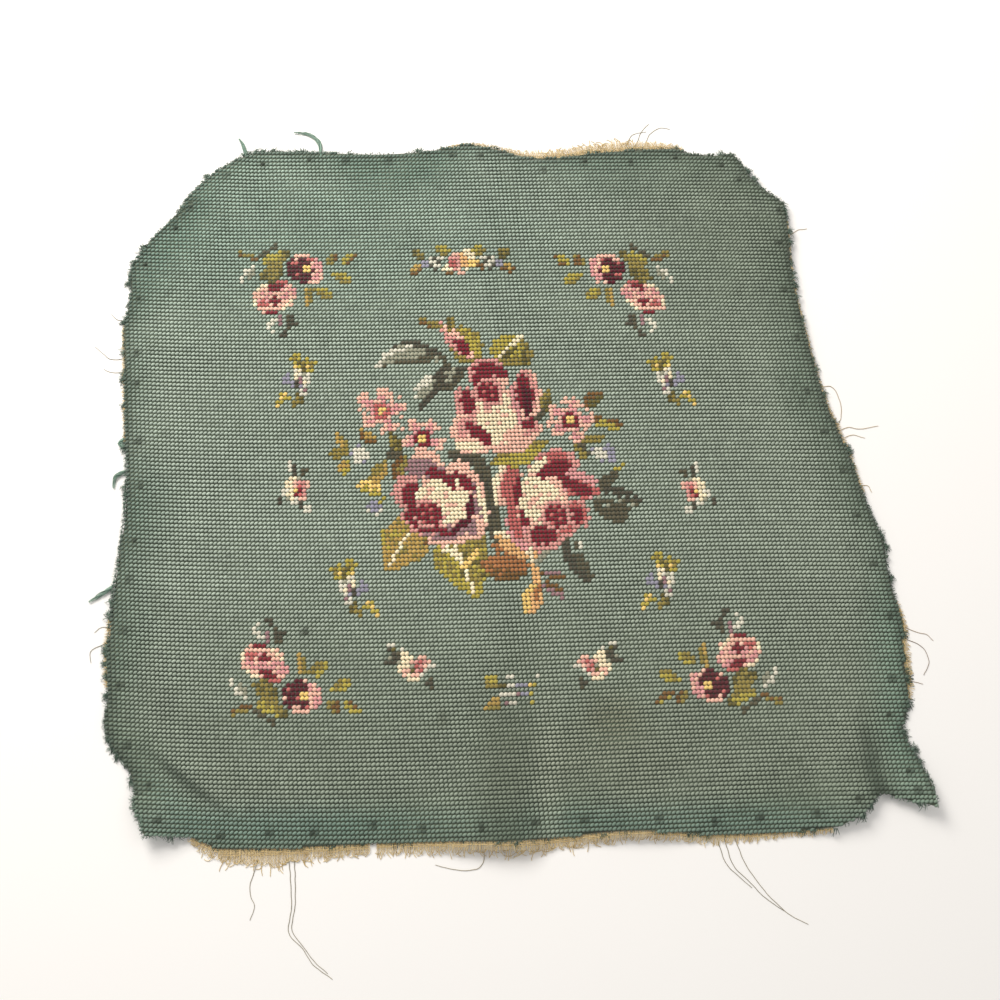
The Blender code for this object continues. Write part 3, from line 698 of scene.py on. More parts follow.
    def low_sprig(self, column: float, row: float) -> None:
        """Works the sprig at the bottom: pale florets with an olive and a yellow leaf to either side.

        Args:
            column: The column of its middle.
            row: Its row.
        """
        pen = Needle(self.chart, column, row)
        pen.leaf((-2.8, -1.0), (-6.2, -3.6), 1.2, Wool.OLIVE, Wool.CHARTREUSE)
        pen.leaf((-3.0, 1.8), (-7.0, 4.2), 1.1, Wool.OLIVE, Wool.GOLD)
        pen.spots([(-3, -1), (-2, -1), (-2, -2)], Wool.MOSS)
        pen.spots([(1, -2), (2, -2), (3, -2), (2, -1), (3, -1), (1, -1), (2, 0), (3, 1)], Wool.LAVENDER)
        pen.spots([(1, 0), (1, 1), (0, 1), (-1, 2), (-2, 2)], Wool.MAUVE)
        pen.spots([(-1, -3), (0, -3), (-1, -2), (0, -2), (0, -1), (-3, 0), (-2, 0), (-1, 0)], Wool.WHITE)
        pen.spots([(0, 0), (-3, 1), (-2, 1), (0, 2), (-1, 3), (0, 3), (6, -3)], Wool.WHITE)
        pen.spots([(4, -2), (5, -2), (4, -1)], Wool.YELLOW)
        pen.spots([(5, -1), (4, 0), (4, 1), (4, 2)], Wool.CHARTREUSE)

    def work(self) -> Chart:
        """Works every motif, and gives the finished chart."""
        self.bouquet_leaves()
        self.bouquet_twigs()
        for star in (
            StarFlower(-26.9, -22.8, 5.9, 12, heart=Wool.ROSE),
            StarFlower(-17.3, -15.6, 5.4, -30),
            StarFlower(19.5, -19.3, 5.8, 18),
        ):
            star.work(self.chart)
        for rose in (TOP_ROSE, LEFT_ROSE, RIGHT_ROSE):
            rose.work(self.chart)
        self.corner_spray(-43, -59, 1, 1)
        self.corner_spray(34, -58, -1, 1)
        self.corner_spray(-51, 45, 1, -1)
        self.corner_spray(44, 45, -1, -1)
        for sprig, column, row, across in (
            (PALE_SPRIG, -46, -31, 1),
            (PALE_SPRIG, 45, -30, -1),
            (PALE_SPRIG, -38, 20, -1),
            (PALE_SPRIG, 37, 20, 1),
            (PINK_SIDE_SPRIG, -49, -4, 1),
            (PINK_SIDE_SPRIG, 48, -2, -1),
            (PINK_SPRIG, -26, 38, 1),
            (PINK_SPRIG, 19, 39, -1),
        ):
            sprig.work(Needle(self.chart, column, row, across))
        self.long_sprig(-3.1, -61.2)
        self.low_sprig(-2.3, 45.5)
        return self.chart


class ClothForm:
    """The shape in which the cloth lies: its outline and its face's height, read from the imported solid."""

    pitch: float = 3.0 * MM
    smoothing: float = 2.0  # in pitches
    thickness: float = 2.4 * MM

    def __init__(self) -> None:
        """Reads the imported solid, and smooths the heights between its facets."""
        self.solid = bmesh.new()
        self.solid.from_mesh(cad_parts[CLOTH].data)
        bmesh.ops.remove_doubles(self.solid, verts=self.solid.verts, dist=0.01 * MM)
        self.solid.normal_update()
        self.outline = self.read_outline()
        self.low = self.outline.min(0) - 6 * self.pitch
        self.count = np.ceil((self.outline.max(0) + 6 * self.pitch - self.low) / self.pitch).astype(int) + 1
        self.heights = self.read_heights()

    def read_outline(self) -> np.ndarray:
        """The corners of the cloth's edge in order, anticlockwise from above.

        Steep faces inside the cloth make small rings of their own, so the walk starts at the leftmost corner,
        which is always on the outer edge.

        Returns:
            The corners, as rows of x and y in metres.
        """
        face_up = {face for face in self.solid.faces if face.normal.z > 0.5}
        follows = {}
        for face in self.solid.faces:
            if face not in face_up:
                continue
            for loop in face.loops:
                if not any(other in face_up for other in loop.edge.link_faces if other is not face):
                    follows[loop.vert] = loop.link_loop_next.vert
        vert = first = min(follows, key=lambda corner: corner.co.xy[:])
        ring = []
        while not ring or vert is not first:
            ring.append(vert.co.xy[:])
            vert = follows[vert]
        return np.array(ring)

    def read_heights(self) -> np.ndarray:
        """The height of the cloth's face on a square grid, carried on a little past its edge and smoothed.

        Returns:
            The heights, by steps along x and along y.
        """
        tree = BVHTree.FromBMesh(self.solid)
        heights = np.full(self.count, np.nan)
        for i in range(self.count[0]):
            for j in range(self.count[1]):
                x, y = self.low + self.pitch * np.array((i, j))
                hit = tree.ray_cast(Vector((x, y, 1.0)), Vector((0, 0, -1)))[0]
                if hit:
                    heights[i, j] = hit.z
        while np.isnan(heights).any():
            ring = np.stack([np.roll(heights, turn, axis) for turn in (-1, 1) for axis in (0, 1)])
            known = ~np.isnan(ring)
            total = np.where(known, ring, 0).sum(0)
            near = known.sum(0)
            fill = np.isnan(heights) & (near > 0)
            heights[fill] = (total / np.maximum(near, 1))[fill]
        span = np.arange(-3 * int(self.smoothing), 3 * int(self.smoothing) + 1)
        kernel = np.exp(-0.5 * (span / self.smoothing) ** 2)
        kernel /= kernel.sum()
        pad = len(span) // 2
        for axis in (0, 1):
            edges = [(pad, pad) if side == axis else (0, 0) for side in (0, 1)]
            padded = np.pad(heights, edges, "edge")
            heights = np.apply_along_axis(np.convolve, axis, padded, kernel, "valid")
        return heights

    def height(self, x: np.ndarray, y: np.ndarray) -> np.ndarray:
        """The height of the cloth's face at some places.

        Args:
            x: Their x, in metres.
            y: Their y.

        Returns:
            The heights.
        """
        u = np.clip((np.asarray(x) - self.low[0]) / self.pitch, 0, self.count[0] - 1.001)
        v = np.clip((np.asarray(y) - self.low[1]) / self.pitch, 0, self.count[1] - 1.001)
        i, j = u.astype(int), v.astype(int)
        s, t = u - i, v - j
        h = self.heights
        return (
            h[i, j] * (1 - s) * (1 - t) + h[i + 1, j] * s * (1 - t) + h[i, j + 1] * (1 - s) * t
            + h[i + 1, j + 1] * s * t
        )

    def normal(self, x: np.ndarray, y: np.ndarray) -> np.ndarray:
        """The direction square to the cloth's face at some places, as rows of three.

        Args:
            x: Their x, in metres.
            y: Their y.

        Returns:
            The directions.
        """
        step = self.pitch
        across = (self.height(x + step, y) - self.height(x - step, y)) / (2 * step)
        along = (self.height(x, y + step) - self.height(x, y - step)) / (2 * step)
        normal = np.stack([-across, -along, np.ones_like(across)], -1)
        return normal / np.linalg.norm(normal, axis=-1, keepdims=True)

    def inset(self, x: np.ndarray, y: np.ndarray) -> np.ndarray:
        """How far some places are inside the outline, negative outside it.

        Args:
            x: Their x, in metres.
            y: Their y.

        Returns:
            The distances, in metres.
        """
        best = np.full(np.shape(x), np.inf)
        inside = np.zeros(np.shape(x), bool)
        for a, b in zip(self.outline, np.roll(self.outline, -1, 0)):
            run = b - a
            t = np.clip(((x - a[0]) * run[0] + (y - a[1]) * run[1]) / (run @ run), 0, 1)
            best = np.minimum(best, np.hypot(x - a[0] - t * run[0], y - a[1] - t * run[1]))
            crosses = (a[1] > y) != (b[1] > y)
            with np.errstate(divide="ignore", invalid="ignore"):
                at = a[0] + (y - a[1]) * run[0] / run[1]
            inside ^= crosses & (x < at)
        return np.where(inside, best, -best)

    def area(self) -> float:
        """The area within the outline, in square metres."""
        x, y = self.outline.T
        return 0.5 * abs(x @ np.roll(y, -1) - y @ np.roll(x, -1))


def turned(direction: np.ndarray, up: np.ndarray) -> np.ndarray:
    """The turn that lays a thing's X along a direction and its Z as near to another one as it can.

    Args:
        direction: Rows of the directions for X.
        up: Rows of the directions for Z.

    Returns:
        Rows of Euler angles.
    """
    ahead = direction / np.linalg.norm(direction, axis=-1, keepdims=True)
    side = np.cross(up, ahead)
    side /= np.linalg.norm(side, axis=-1, keepdims=True)
    top = np.cross(ahead, side)
    return np.stack(
        [
            np.arctan2(side[:, 2], top[:, 2]),
            np.arcsin(np.clip(-ahead[:, 2], -1, 1)),
            np.arctan2(ahead[:, 1], ahead[:, 0]),
        ],
        -1,
    )


class Tree:
    """A Geometry Nodes tree that grows something on points, with named inputs for its sizes."""

    def __init__(self, name: str, inputs: dict[str, tuple[str, object]]) -> None:
        """Starts a tree.

        Args:
            name: The tree's name.
            inputs: The kind of socket and the value for each input past the points themselves.
        """
        self.group = bpy.data.node_groups.new(name, "GeometryNodeTree")
        sockets = self.group.interface
        sockets.new_socket("Geometry", in_out="OUTPUT", socket_type="NodeSocketGeometry")
        sockets.new_socket("Points", in_out="INPUT", socket_type="NodeSocketGeometry")
        for label, (kind, _) in inputs.items():
            sockets.new_socket(label, in_out="INPUT", socket_type=kind)
        self.values = {label: value for label, (_, value) in inputs.items()}
        self.source = add_node(self.group, "NodeGroupInput")

    def add(self, kind: str, links: dict | None = None, **settings) -> bpy.types.Node:
        """Adds a node to the tree, as add_node does."""
        return add_node(self.group, kind, links, **settings)

    def given(self, label: str) -> bpy.types.NodeSocket:
        """The socket that one of the tree's inputs comes in by."""
        return self.source.outputs[label]

    def attribute(self, name: str, kind: str = "FLOAT") -> bpy.types.NodeSocket:
        """The socket that reads one of the points' attributes."""
        reader = self.add("GeometryNodeInputNamedAttribute", {"Name": name}, data_type=kind)
        return reader.outputs["Attribute"]

    def end(self, geometry: bpy.types.NodeSocket) -> None:
        """Gives the geometry its material and its smooth shading, and sends it out.

        Args:
            geometry: The geometry.
        """
        smooth = self.add("GeometryNodeSetShadeSmooth", {"Geometry": geometry})
        finish = self.add(
            "GeometryNodeSetMaterial", {"Geometry": smooth.outputs[0], "Material": self.given("Material")}
        )
        self.add("NodeGroupOutput", {"Geometry": finish.outputs[0]})

    def grow(self, name: str, points: bpy.types.Object) -> bpy.types.Object:
        """Grows the tree on an object of points and gives the result as a plain mesh object.

        Args:
            name: The new object's name.
            points: The object of points, which is removed.

        Returns:
            The new object.
        """
        modifier = points.modifiers.new("grow", "NODES")
        modifier.node_group = self.group
        for item in self.group.interface.items_tree:
            if item.in_out == "INPUT" and item.name in self.values:
                modifier[item.identifier] = self.values[item.name]
        bpy.context.view_layer.update()
        graph = bpy.context.evaluated_depsgraph_get()
        mesh = bpy.data.meshes.new_from_object(points.evaluated_get(graph), depsgraph=graph)
        mesh.name = name
        bpy.data.objects.remove(points)
        made = bpy.data.objects.new(name, mesh)
        bpy.context.scene.collection.objects.link(made)
        LOG.info("%s: %d faces", name, len(mesh.polygons))
        return made


def make_points(places: np.ndarray, **attributes: np.ndarray) -> bpy.types.Object:
    """Makes an object of bare points, with attributes for a tree to read.

    Args:
        places: Rows of x, y and z.
        attributes: A value, three values or a colour's four for each point, by the attribute's name.

    Returns:
        The object.
    """
    mesh = bpy.data.meshes.new("points")
    mesh.vertices.add(len(places))
    mesh.vertices.foreach_set("co", np.asarray(places, np.float32).ravel())
    kinds = {1: ("FLOAT", "value"), 3: ("FLOAT_VECTOR", "vector"), 4: ("FLOAT_COLOR", "color")}
    for name, values in attributes.items():
        values = np.asarray(values, np.float32).reshape(len(places), -1)
        kind, part = kinds[values.shape[1]]
        mesh.attributes.new(name, kind, "POINT").data.foreach_set(part, values.ravel())
    made = bpy.data.objects.new("points", mesh)
    bpy.context.scene.collection.objects.link(made)
    return made


class Finish:
    """A material made of nodes. Each kind of finish fills in its own."""

    def __init__(self, name: str, roughness: float, sheen: float = 0.0) -> None:
        """Starts the material.

        Args:
            name: Its name.
            roughness: The shader's roughness.
            sheen: The shader's sheen, for the light that loose fibres catch.
        """
        self.material = bpy.data.materials.new(name)
        self.material.use_nodes = True
        self.tree = self.material.node_tree
        self.shader = self.tree.nodes["Principled BSDF"]
        self.shader.inputs["Roughness"].default_value = roughness
        self.shader.inputs["Sheen Weight"].default_value = sheen
        self.shader.inputs["Sheen Roughness"].default_value = 0.6
        self.shader.inputs["Specular IOR Level"].default_value = 0.1
        self.place = add_node(self.tree, "ShaderNodeTexCoord").outputs["Object"]

    def add(self, kind: str, links: dict | None = None, **settings) -> bpy.types.Node:
        """Adds a node to the material, as add_node does."""
        return add_node(self.tree, kind, links, **settings)

    def noise(self, size: float, detail: float = 2.0) -> bpy.types.NodeSocket:
        """Noise over the object's own space, whose features are about a size in millimetres.

        Args:
            size: The size.
            detail: How many finer layers it has.

        Returns:
            The noise, from 0 to 1.
        """
        return self.add(
            "ShaderNodeTexNoise", {"Vector": self.place, "Scale": 1 / (size * MM), "Detail": detail}
        ).outputs["Fac"]

    def mix(self, share, first, second) -> bpy.types.NodeSocket:
        """A colour between two others, each given as a socket or as sRGB hex.

        Args:
            share: How much of the second it has.
            first: One colour.
            second: The other.

        Returns:
            The colour.
        """
        sides = [linear(side) + (1.0,) if isinstance(side, str) else side for side in (first, second)]
        node = self.add("ShaderNodeMix", {0: share, 6: sides[0], 7: sides[1]}, data_type="RGBA")
        return node.outputs[2]

    def spread(
        self, value: bpy.types.NodeSocket, low: float, high: float, start: float = 0.3, stop: float = 0.7
    ) -> bpy.types.NodeSocket:
        """A value's middle stretch, drawn out to run between two others.

        Args:
            value: The value.
            low: What it runs from.
            high: What it runs to.
            start: Where its middle stretch starts.
            stop: Where that stops.

        Returns:
            The new value.
        """
        links = {"Value": value, "From Min": start, "From Max": stop, "To Min": low, "To Max": high}
        return self.add("ShaderNodeMapRange", links).outputs["Result"]

    def tint(self, colour: bpy.types.NodeSocket, factor: bpy.types.NodeSocket) -> bpy.types.NodeSocket:
        """A colour made lighter or darker by a factor.

        Args:
            colour: The colour.
            factor: The factor.

        Returns:
            The new colour.
        """
        return self.add(
            "ShaderNodeVectorMath", {0: colour, "Scale": factor}, operation="SCALE"
        ).outputs["Vector"]

    def dress(self, colour: bpy.types.NodeSocket, height: bpy.types.NodeSocket, depth: float) -> None:
        """Gives the shader its colour, and a bump whose depth is in millimetres.

        Args:
            colour: The colour.
            height: The bump's height.
            depth: Its depth.
        """
        self.tree.links.new(colour, self.shader.inputs["Base Color"])
        bump = self.add("ShaderNodeBump", {"Height": height, "Distance": depth * MM, "Strength": 1.0})
        self.tree.links.new(bump.outputs["Normal"], self.shader.inputs["Normal"])


class StitchedWool(Finish):
    """Worsted crewel wool, dyed and faded: matt, with a fine fuzz that catches light at its edges.

    Its colour comes with each stitch. Its fibres are drawn about 0.3 mm coarse, as finer ones wouldn't show.
    """

    def __init__(self) -> None:
        """Fills in the wool."""
        super().__init__("worsted_wool", 0.92, 0.1)
        dye = self.add("ShaderNodeAttribute", attribute_name="wool_colour").outputs["Color"]
        fibres = self.noise(0.3, 3.0)
        self.dress(self.tint(dye, self.spread(fibres, 0.82, 1.14)), fibres, 0.12)


class WoolBackAndGapShade(Finish):
    """The back of the work and the canvas between stitches: slanting runs of wool with painted shade between
    them, and on the upward faces, seen in the gaps between stitches, a dark green that is painted shade.
    """

    def __init__(self) -> None:
        """Fills in the back."""
        super().__init__("wool_back", 0.95, 0.15)
        runs = self.add(
            "ShaderNodeTexWave",
            {"Vector": self.place, "Scale": 0.314 / (STITCH * MM), "Distortion": 1.2, "Detail": 1.0},
            bands_direction="Y",
        ).outputs["Fac"]
        face = self.add("ShaderNodeNewGeometry").outputs["Normal"]
        up = self.add("ShaderNodeSeparateXYZ", {0: face}).outputs["Z"]
        back = self.mix(self.spread(self.noise(3.0), 0, 1), "#77877A", "#9AA896")
        # painted shade: faces that look up, seen only in the gaps between stitches, take these dark greens in
        # place of the shade there
        between = self.mix(self.spread(self.noise(9.0), 0, 1), "#4B5547", "#5C6655")
        colour = self.mix(self.spread(up, 0, 1, -0.2, 0.2), back, between)
        # the runs also darken the colour between them: painted shade in their grooves
        self.dress(self.tint(colour, self.spread(runs, 0.7, 1.1, 0, 1)), runs, 0.5)


class SpunThread(Finish):
    """A spun yarn or thread that has come loose, dry and matt. Its colour comes with each thread."""

    def __init__(self) -> None:
        """Fills in the thread."""
        super().__init__("spun_thread", 0.85, 0.2)
        dye = self.add("ShaderNodeAttribute", attribute_name="wool_colour").outputs["Color"]
        twist = self.noise(0.5, 2.0)
        self.dress(self.tint(dye, self.spread(twist, 0.78, 1.12)), twist, 0.1)


@dataclass
class StitchGrid:
    """Where each stitch lies on the surface: the canvas leans and bows, as tent stitch pulls it."""

    column_step: tuple[float, float] = (2.528, 0.065)
    row_step: tuple[float, float] = (0.285, -2.588)
    middle: tuple[float, float] = (0.2, 3.4)
    reach: float = 200.0
    seen_from: tuple[float, float, float] = (0.0, -160.0, 609.0)  # the camera, from which places were judged

    def place(self, column: np.ndarray, row: np.ndarray) -> tuple[np.ndarray, np.ndarray]:
        """The x and y, in metres, of some columns and rows.

        Args:
            column: Columns counted to the right from the design's middle.
            row: Rows counted downwards from it.

        Returns:
            Their x and y.
        """
        x = column * self.column_step[0] + row * self.row_step[0]
        y = column * self.column_step[1] + row * self.row_step[1]
        a, b = x / self.reach, y / self.reach
        x = x - STITCH * (0.86 * a * a - 0.98 * a * b - 0.22 * b * b)
        y = y + STITCH * (0.50 * a * a - 0.92 * a * b + 2.01 * b * b - 1.29 * a**3 - 0.90 * a * a * b)
        return (x + self.middle[0]) * MM, (y + self.middle[1]) * MM

    def lift(self, x: np.ndarray, y: np.ndarray, height: np.ndarray) -> tuple[np.ndarray, np.ndarray]:
        """Moves places on raised cloth back along the line of sight, as they were judged as if it lay flat.

        Args:
            x: Their x on the flat, in metres.
            y: Their y.
            height: How high the cloth is there.

        Returns:
            Their true x and y.
        """
        eye_x, eye_y, eye_z = (value * MM for value in self.seen_from)
        share = height / eye_z
        return x + (eye_x - x) * share, y + (eye_y - y) * share


def smooth_field(column: np.ndarray, row: np.ndarray, size: float, seed: int) -> np.ndarray:
    """Soft unevenness from -1 to 1 over the design, whose patches are about a number of stitches wide.

    Args:
        column: The columns of some stitches.
        row: Their rows.
        size: How wide a patch is.
        seed: The seed of its random draws.

    Returns:
        The unevenness at each.
    """
    draw = np.random.default_rng(seed)
    total = np.zeros(np.shape(column))
    for _ in range(9):
        angle, phase = draw.uniform(0, 2 * math.pi, 2)
        turns = 2 * math.pi / (size * draw.uniform(0.7, 1.8))
        total += np.sin(turns * (column * math.cos(angle) + row * math.sin(angle)) + phase)
    return np.clip(total / 4.5, -1, 1)


@dataclass(frozen=True)
class StainOrShading:
    """A soft patch of colour laid on the wool: some are stains, others painted shade or painted highlight.
    Its middle and half sizes are in millimetres, turned anticlockwise.
    """

    x: float
    y: float
    wide: float
    high: float
    colour: str
    share: float
    turn: float = 0.0

    def cover(self, x: np.ndarray, y: np.ndarray) -> np.ndarray:
        """How much of the mark's colour some places take, in a column.

        Args:
            x: Their x, in millimetres.
            y: Their y.

        Returns:
            The shares, from 0 to 1.
        """
        cos, sin = math.cos(math.radians(self.turn)), math.sin(math.radians(self.turn))
        u = (x - self.x) * cos + (y - self.y) * sin
        v = (y - self.y) * cos - (x - self.x) * sin
        gap = (u / self.wide) ** 2 + (v / self.high) ** 2
        return self.share * np.exp(-0.5 * gap**1.3)[:, None]


@dataclass
class StitchedCloth:
    """The cloth: a thin sheet of canvas and wool backs, with a wool stitch over each crossing."""

    form: ClothForm
    stitch_length: float = 3.15
    stitch_width: float = 1.95
    stitch_height: float = 1.25
    flower_length: float = 3.45
    flower_width: float = 2.72
    slant: float = 34.0
    bands: int = 3
    edge_draw: float = 0.7
    faded: str = "#B2BFB0"
    fresh: str = "#869A8B"
    front: float = -0.17  # in metres: stitches nearer than this y are along the front edge
    tack_pitch: float = 31.0
    tack_inset: float = 8.5
    tack_size: float = 1.6
    tack_depth: float = 0.92
    tack_colour: str = "#2A2F26"
    search: float = 0.27  # in metres: no stitch lies further than this from the middle
    # painted shade where the cut edge rolls down, with the darker cut wool there: stitches within this many
    # millimetres of the edge darken, by a smaller share along the front
    edge_shade_reach: float = 4.4
    front_edge_shade: float = 0.15
    side_edge_shade: float = 0.54
    # the share of each stain, painted shade or painted highlight that the flower stitches take
    flower_stain_and_shading: float = 0.15
    stains_and_shading: tuple[StainOrShading, ...] = (
        # painted shade: darker over the whole front half, where less light falls
        StainOrShading(0, -150, 260, 75, "#7E8571", 0.52),
        # darker over the right side
        StainOrShading(190, 20, 110, 260, "#868B76", 0.3),
        StainOrShading(-150, 190, 130, 50, "#91B1A1", 0.45),
        # painted shade of the small dimple near the back right corner
        StainOrShading(170, 190, 60, 60, "#74806D", 0.45),
        StainOrShading(-120, -187, 75, 8, "#6C9389", 0.4),
        StainOrShading(110, -185, 90, 8, "#6C9389", 0.35),
        StainOrShading(234, -120, 13, 62, "#88AB98", 0.45),
        # painted shade along the crease before the lifted flap at the front right
        StainOrShading(212, -155, 4.5, 20, "#3F4C42", 0.55, 8),
        # painted shade along the crease across the front left corner
        StainOrShading(-178, -163, 21, 2.4, "#3F4C42", 0.68, -35),
        # the corner's fresher teal wool, with painted highlight where the lifted corner faces the light
        StainOrShading(-186, -172, 17, 6, "#7FA192", 0.35, -35),
        StainOrShading(66, -128, 13, 11, "#86856A", 0.5),
        StainOrShading(58, -150, 40, 16, "#8A8D78", 0.35),
        # soil in the middle crease at the front, together with painted shade on its slope away from the light
        StainOrShading(2, -176, 13, 62, "#5F6653", 0.42),
        # painted highlight on the crease's slope that faces the light
        StainOrShading(28, -170, 6, 48, "#C2C8B4", 0.3),
        StainOrShading(-115, -78, 2.0, 2.0, "#3E4034", 0.8),
        StainOrShading(-65, -93, 2.2, 2.6, "#4E5244", 0.6),
        StainOrShading(-33, -128, 2.6, 4.0, "#5C6050", 0.5),
    )
    grid: StitchGrid = field(default_factory=StitchGrid)

    def make_sheet(self) -> bpy.types.Object:
        """Makes the sheet under the stitches on the solid's own grid, drawn in a little at its edge.

        Returns:
            The sheet.
        """
        mesh = self.form.solid.copy()
        bmesh.ops.join_triangles(
            mesh, faces=mesh.faces, angle_face_threshold=0.6, angle_shape_threshold=3.0
        )
        ring = self.form.outline
        ahead = np.roll(ring, -1, 0) - np.roll(ring, 1, 0)
        inward = np.stack([-ahead[:, 1], ahead[:, 0]], -1) / np.linalg.norm(ahead, axis=1, keepdims=True)
        for vert in mesh.verts:
            gaps = np.abs(ring - np.array(vert.co.xy)).sum(1)
            nearest = int(gaps.argmin())
            if gaps[nearest] < 0.05 * MM:
                vert.co.xy += Vector(self.edge_draw * MM * inward[nearest])
        bmesh.ops.subdivide_edges(mesh, edges=mesh.edges, cuts=1, use_grid_fill=True)
        sunk = (self.stitch_height - 0.45) * MM
        for vert in mesh.verts:
            face = float(self.form.height(vert.co.x, vert.co.y))
            under = vert.co.z < face - 0.5 * self.form.thickness
            vert.co.z = max(face - self.form.thickness, 0.0) if under else face - sunk
        bmesh.ops.recalc_face_normals(mesh, faces=mesh.faces)
        data = bpy.data.meshes.new("canvas_and_wool_backs")
        mesh.to_mesh(data)
        mesh.free()
        data.shade_smooth()
        data.set_sharp_from_angle(angle=math.radians(50))
        data.materials.append(WoolBackAndGapShade().material)
        made = bpy.data.objects.new("canvas_and_wool_backs", data)
        bpy.context.scene.collection.objects.link(made)
        return made

    def tacks(self) -> np.ndarray:
        """The places of the old tack holes, as rows of x and y, a little inside the edge all round.

        Returns:
            The places.
        """
        ring = self.form.outline
        ahead = np.roll(ring, -1, 0) - ring
        along = np.concatenate([[0], np.cumsum(np.linalg.norm(ahead, axis=1))])
        draw = np.random.default_rng(31)
        marks = np.arange(0.4, along[-1] / (self.tack_pitch * MM)) * self.tack_pitch * MM
        marks = marks + draw.uniform(-6, 6, len(marks)) * MM
        side = np.searchsorted(along, marks % along[-1], "right") - 1
        t = (marks % along[-1]) - along[side]
        run = ahead[side] / np.linalg.norm(ahead[side], axis=1, keepdims=True)
        inset = self.tack_inset * MM + draw.uniform(-2.5, 1.5, (len(marks), 1)) * MM
        return ring[side] + run * t[:, None] + np.stack([-run[:, 1], run[:, 0]], -1) * inset

    def colours(
        self, chart: Chart, keep: np.ndarray, x: np.ndarray, y: np.ndarray, inset: np.ndarray
    ) -> tuple[np.ndarray, np.ndarray]:
        """The colour of each stitch: its wool, its fading, the stains, tack marks, painted shade and painted
        highlights on it, and its own small difference.

        Args:
            chart: The design.
            keep: Which stitches of the chart the cloth has.
            x: Their x.
            y: Their y.
            inset: How far each is inside the cloth's edge.

        Returns:
            Rows of red, green, blue and alpha, and which stitches are of the sage ground.
        """
        draw = np.random.default_rng(11)
        palette = np.array([linear(wool.value) for wool in WOOLS])
        wool = chart.wool[keep]
        ground = wool == 0
        colour = palette[wool]
        column, row = chart.column[keep], chart.row[keep]
        patches = smooth_field(column, row, 40, 3)
        kept = np.clip(1.15 - inset / (30 * MM) + 0.45 * patches, 0, 1) ** 1.4
        shade = kept[:, None]
        sage = (1 - shade) * np.array(linear(self.faded)) + shade * np.array(linear(self.fresh))
        colour[ground] = sage[ground]
        # stains, and painted shade and painted highlights over the folds and the front
        for stain_or_shading in self.stains_and_shading:
            share = stain_or_shading.cover(x / MM, y / MM) * np.where(ground, 1.0, self.flower_stain_and_shading)[:, None]
            colour = (1 - share) * colour + share * np.array(linear(stain_or_shading.colour))
        tack = np.full(len(x), np.inf)
        for tack_x, tack_y in self.tacks():
            tack = np.minimum(tack, np.hypot(x - tack_x, y - tack_y))
        rust = (self.tack_depth * np.exp(-0.5 * (tack / (self.tack_size * MM)) ** 2))[:, None]
        colour = (1 - rust) * colour + rust * np.array(linear(self.tack_colour))
        # painted shade along the rolled edge, together with the darker cut wool there
        edge_shade = np.where(y < self.front, self.front_edge_shade, self.side_edge_shade)
        colour *= (1 - edge_shade * np.exp(-((inset / (self.edge_shade_reach * MM)) ** 2)))[:, None]
        lines = np.random.default_rng(5).normal(0, 0.028, chart.row.shape[0])
        own = 1 + draw.normal(0, 0.055, len(wool)) + lines[row + chart.half]
        own += 0.05 * smooth_field(column, row, 12, 9)
        return np.column_stack([np.clip(colour * own[:, None], 0, 1), np.ones(len(wool))]), ground

    def stitch_tree(self) -> Tree:
        """The tree that lays a stitch, a short rounded length of wool, at each point.

        Returns:
            The tree.
        """
        tree = Tree(
            "tent_stitches",
            {
                "Stitch Length": ("NodeSocketFloat", self.stitch_length * MM),
                "Stitch Width": ("NodeSocketFloat", self.stitch_width * MM),
                "Stitch Height": ("NodeSocketFloat", self.stitch_height * MM),
                "Unevenness": ("NodeSocketFloat", 0.07),
                "Seed": ("NodeSocketInt", 4),
                "Material": ("NodeSocketMaterial", StitchedWool().material),
            },
        )
        bead = tree.add("GeometryNodeMeshIcoSphere", {"Radius": 0.5, "Subdivisions": 1})
        size = tree.add(
            "ShaderNodeCombineXYZ",
            {0: tree.given("Stitch Length"), 1: tree.given("Stitch Width"), 2: tree.given("Stitch Height")},
        )
        bead = tree.add("GeometryNodeTransform", {"Geometry": bead.outputs["Mesh"], "Scale": size.outputs[0]})
        low = tree.add("ShaderNodeMath", {0: 1.0, 1: tree.given("Unevenness")}, operation="SUBTRACT")
        high = tree.add("ShaderNodeMath", {0: 1.0, 1: tree.given("Unevenness")}, operation="ADD")
        girth = tree.add(
            "FunctionNodeRandomValue",
            {"Min": low.outputs[0], "Max": high.outputs[0], "Seed": tree.given("Seed")},
            data_type="FLOAT_VECTOR",
        )
        laid = tree.add(
            "GeometryNodeInstanceOnPoints",
            {
                "Points": tree.given("Points"),
                "Instance": bead.outputs["Geometry"],
                "Rotation": tree.attribute("turn", "FLOAT_VECTOR"),
                "Scale": girth.outputs["Value"],
            },
        )
        real = tree.add("GeometryNodeRealizeInstances", {"Geometry": laid.outputs["Instances"]})
        tree.end(real.outputs["Geometry"])
        return tree

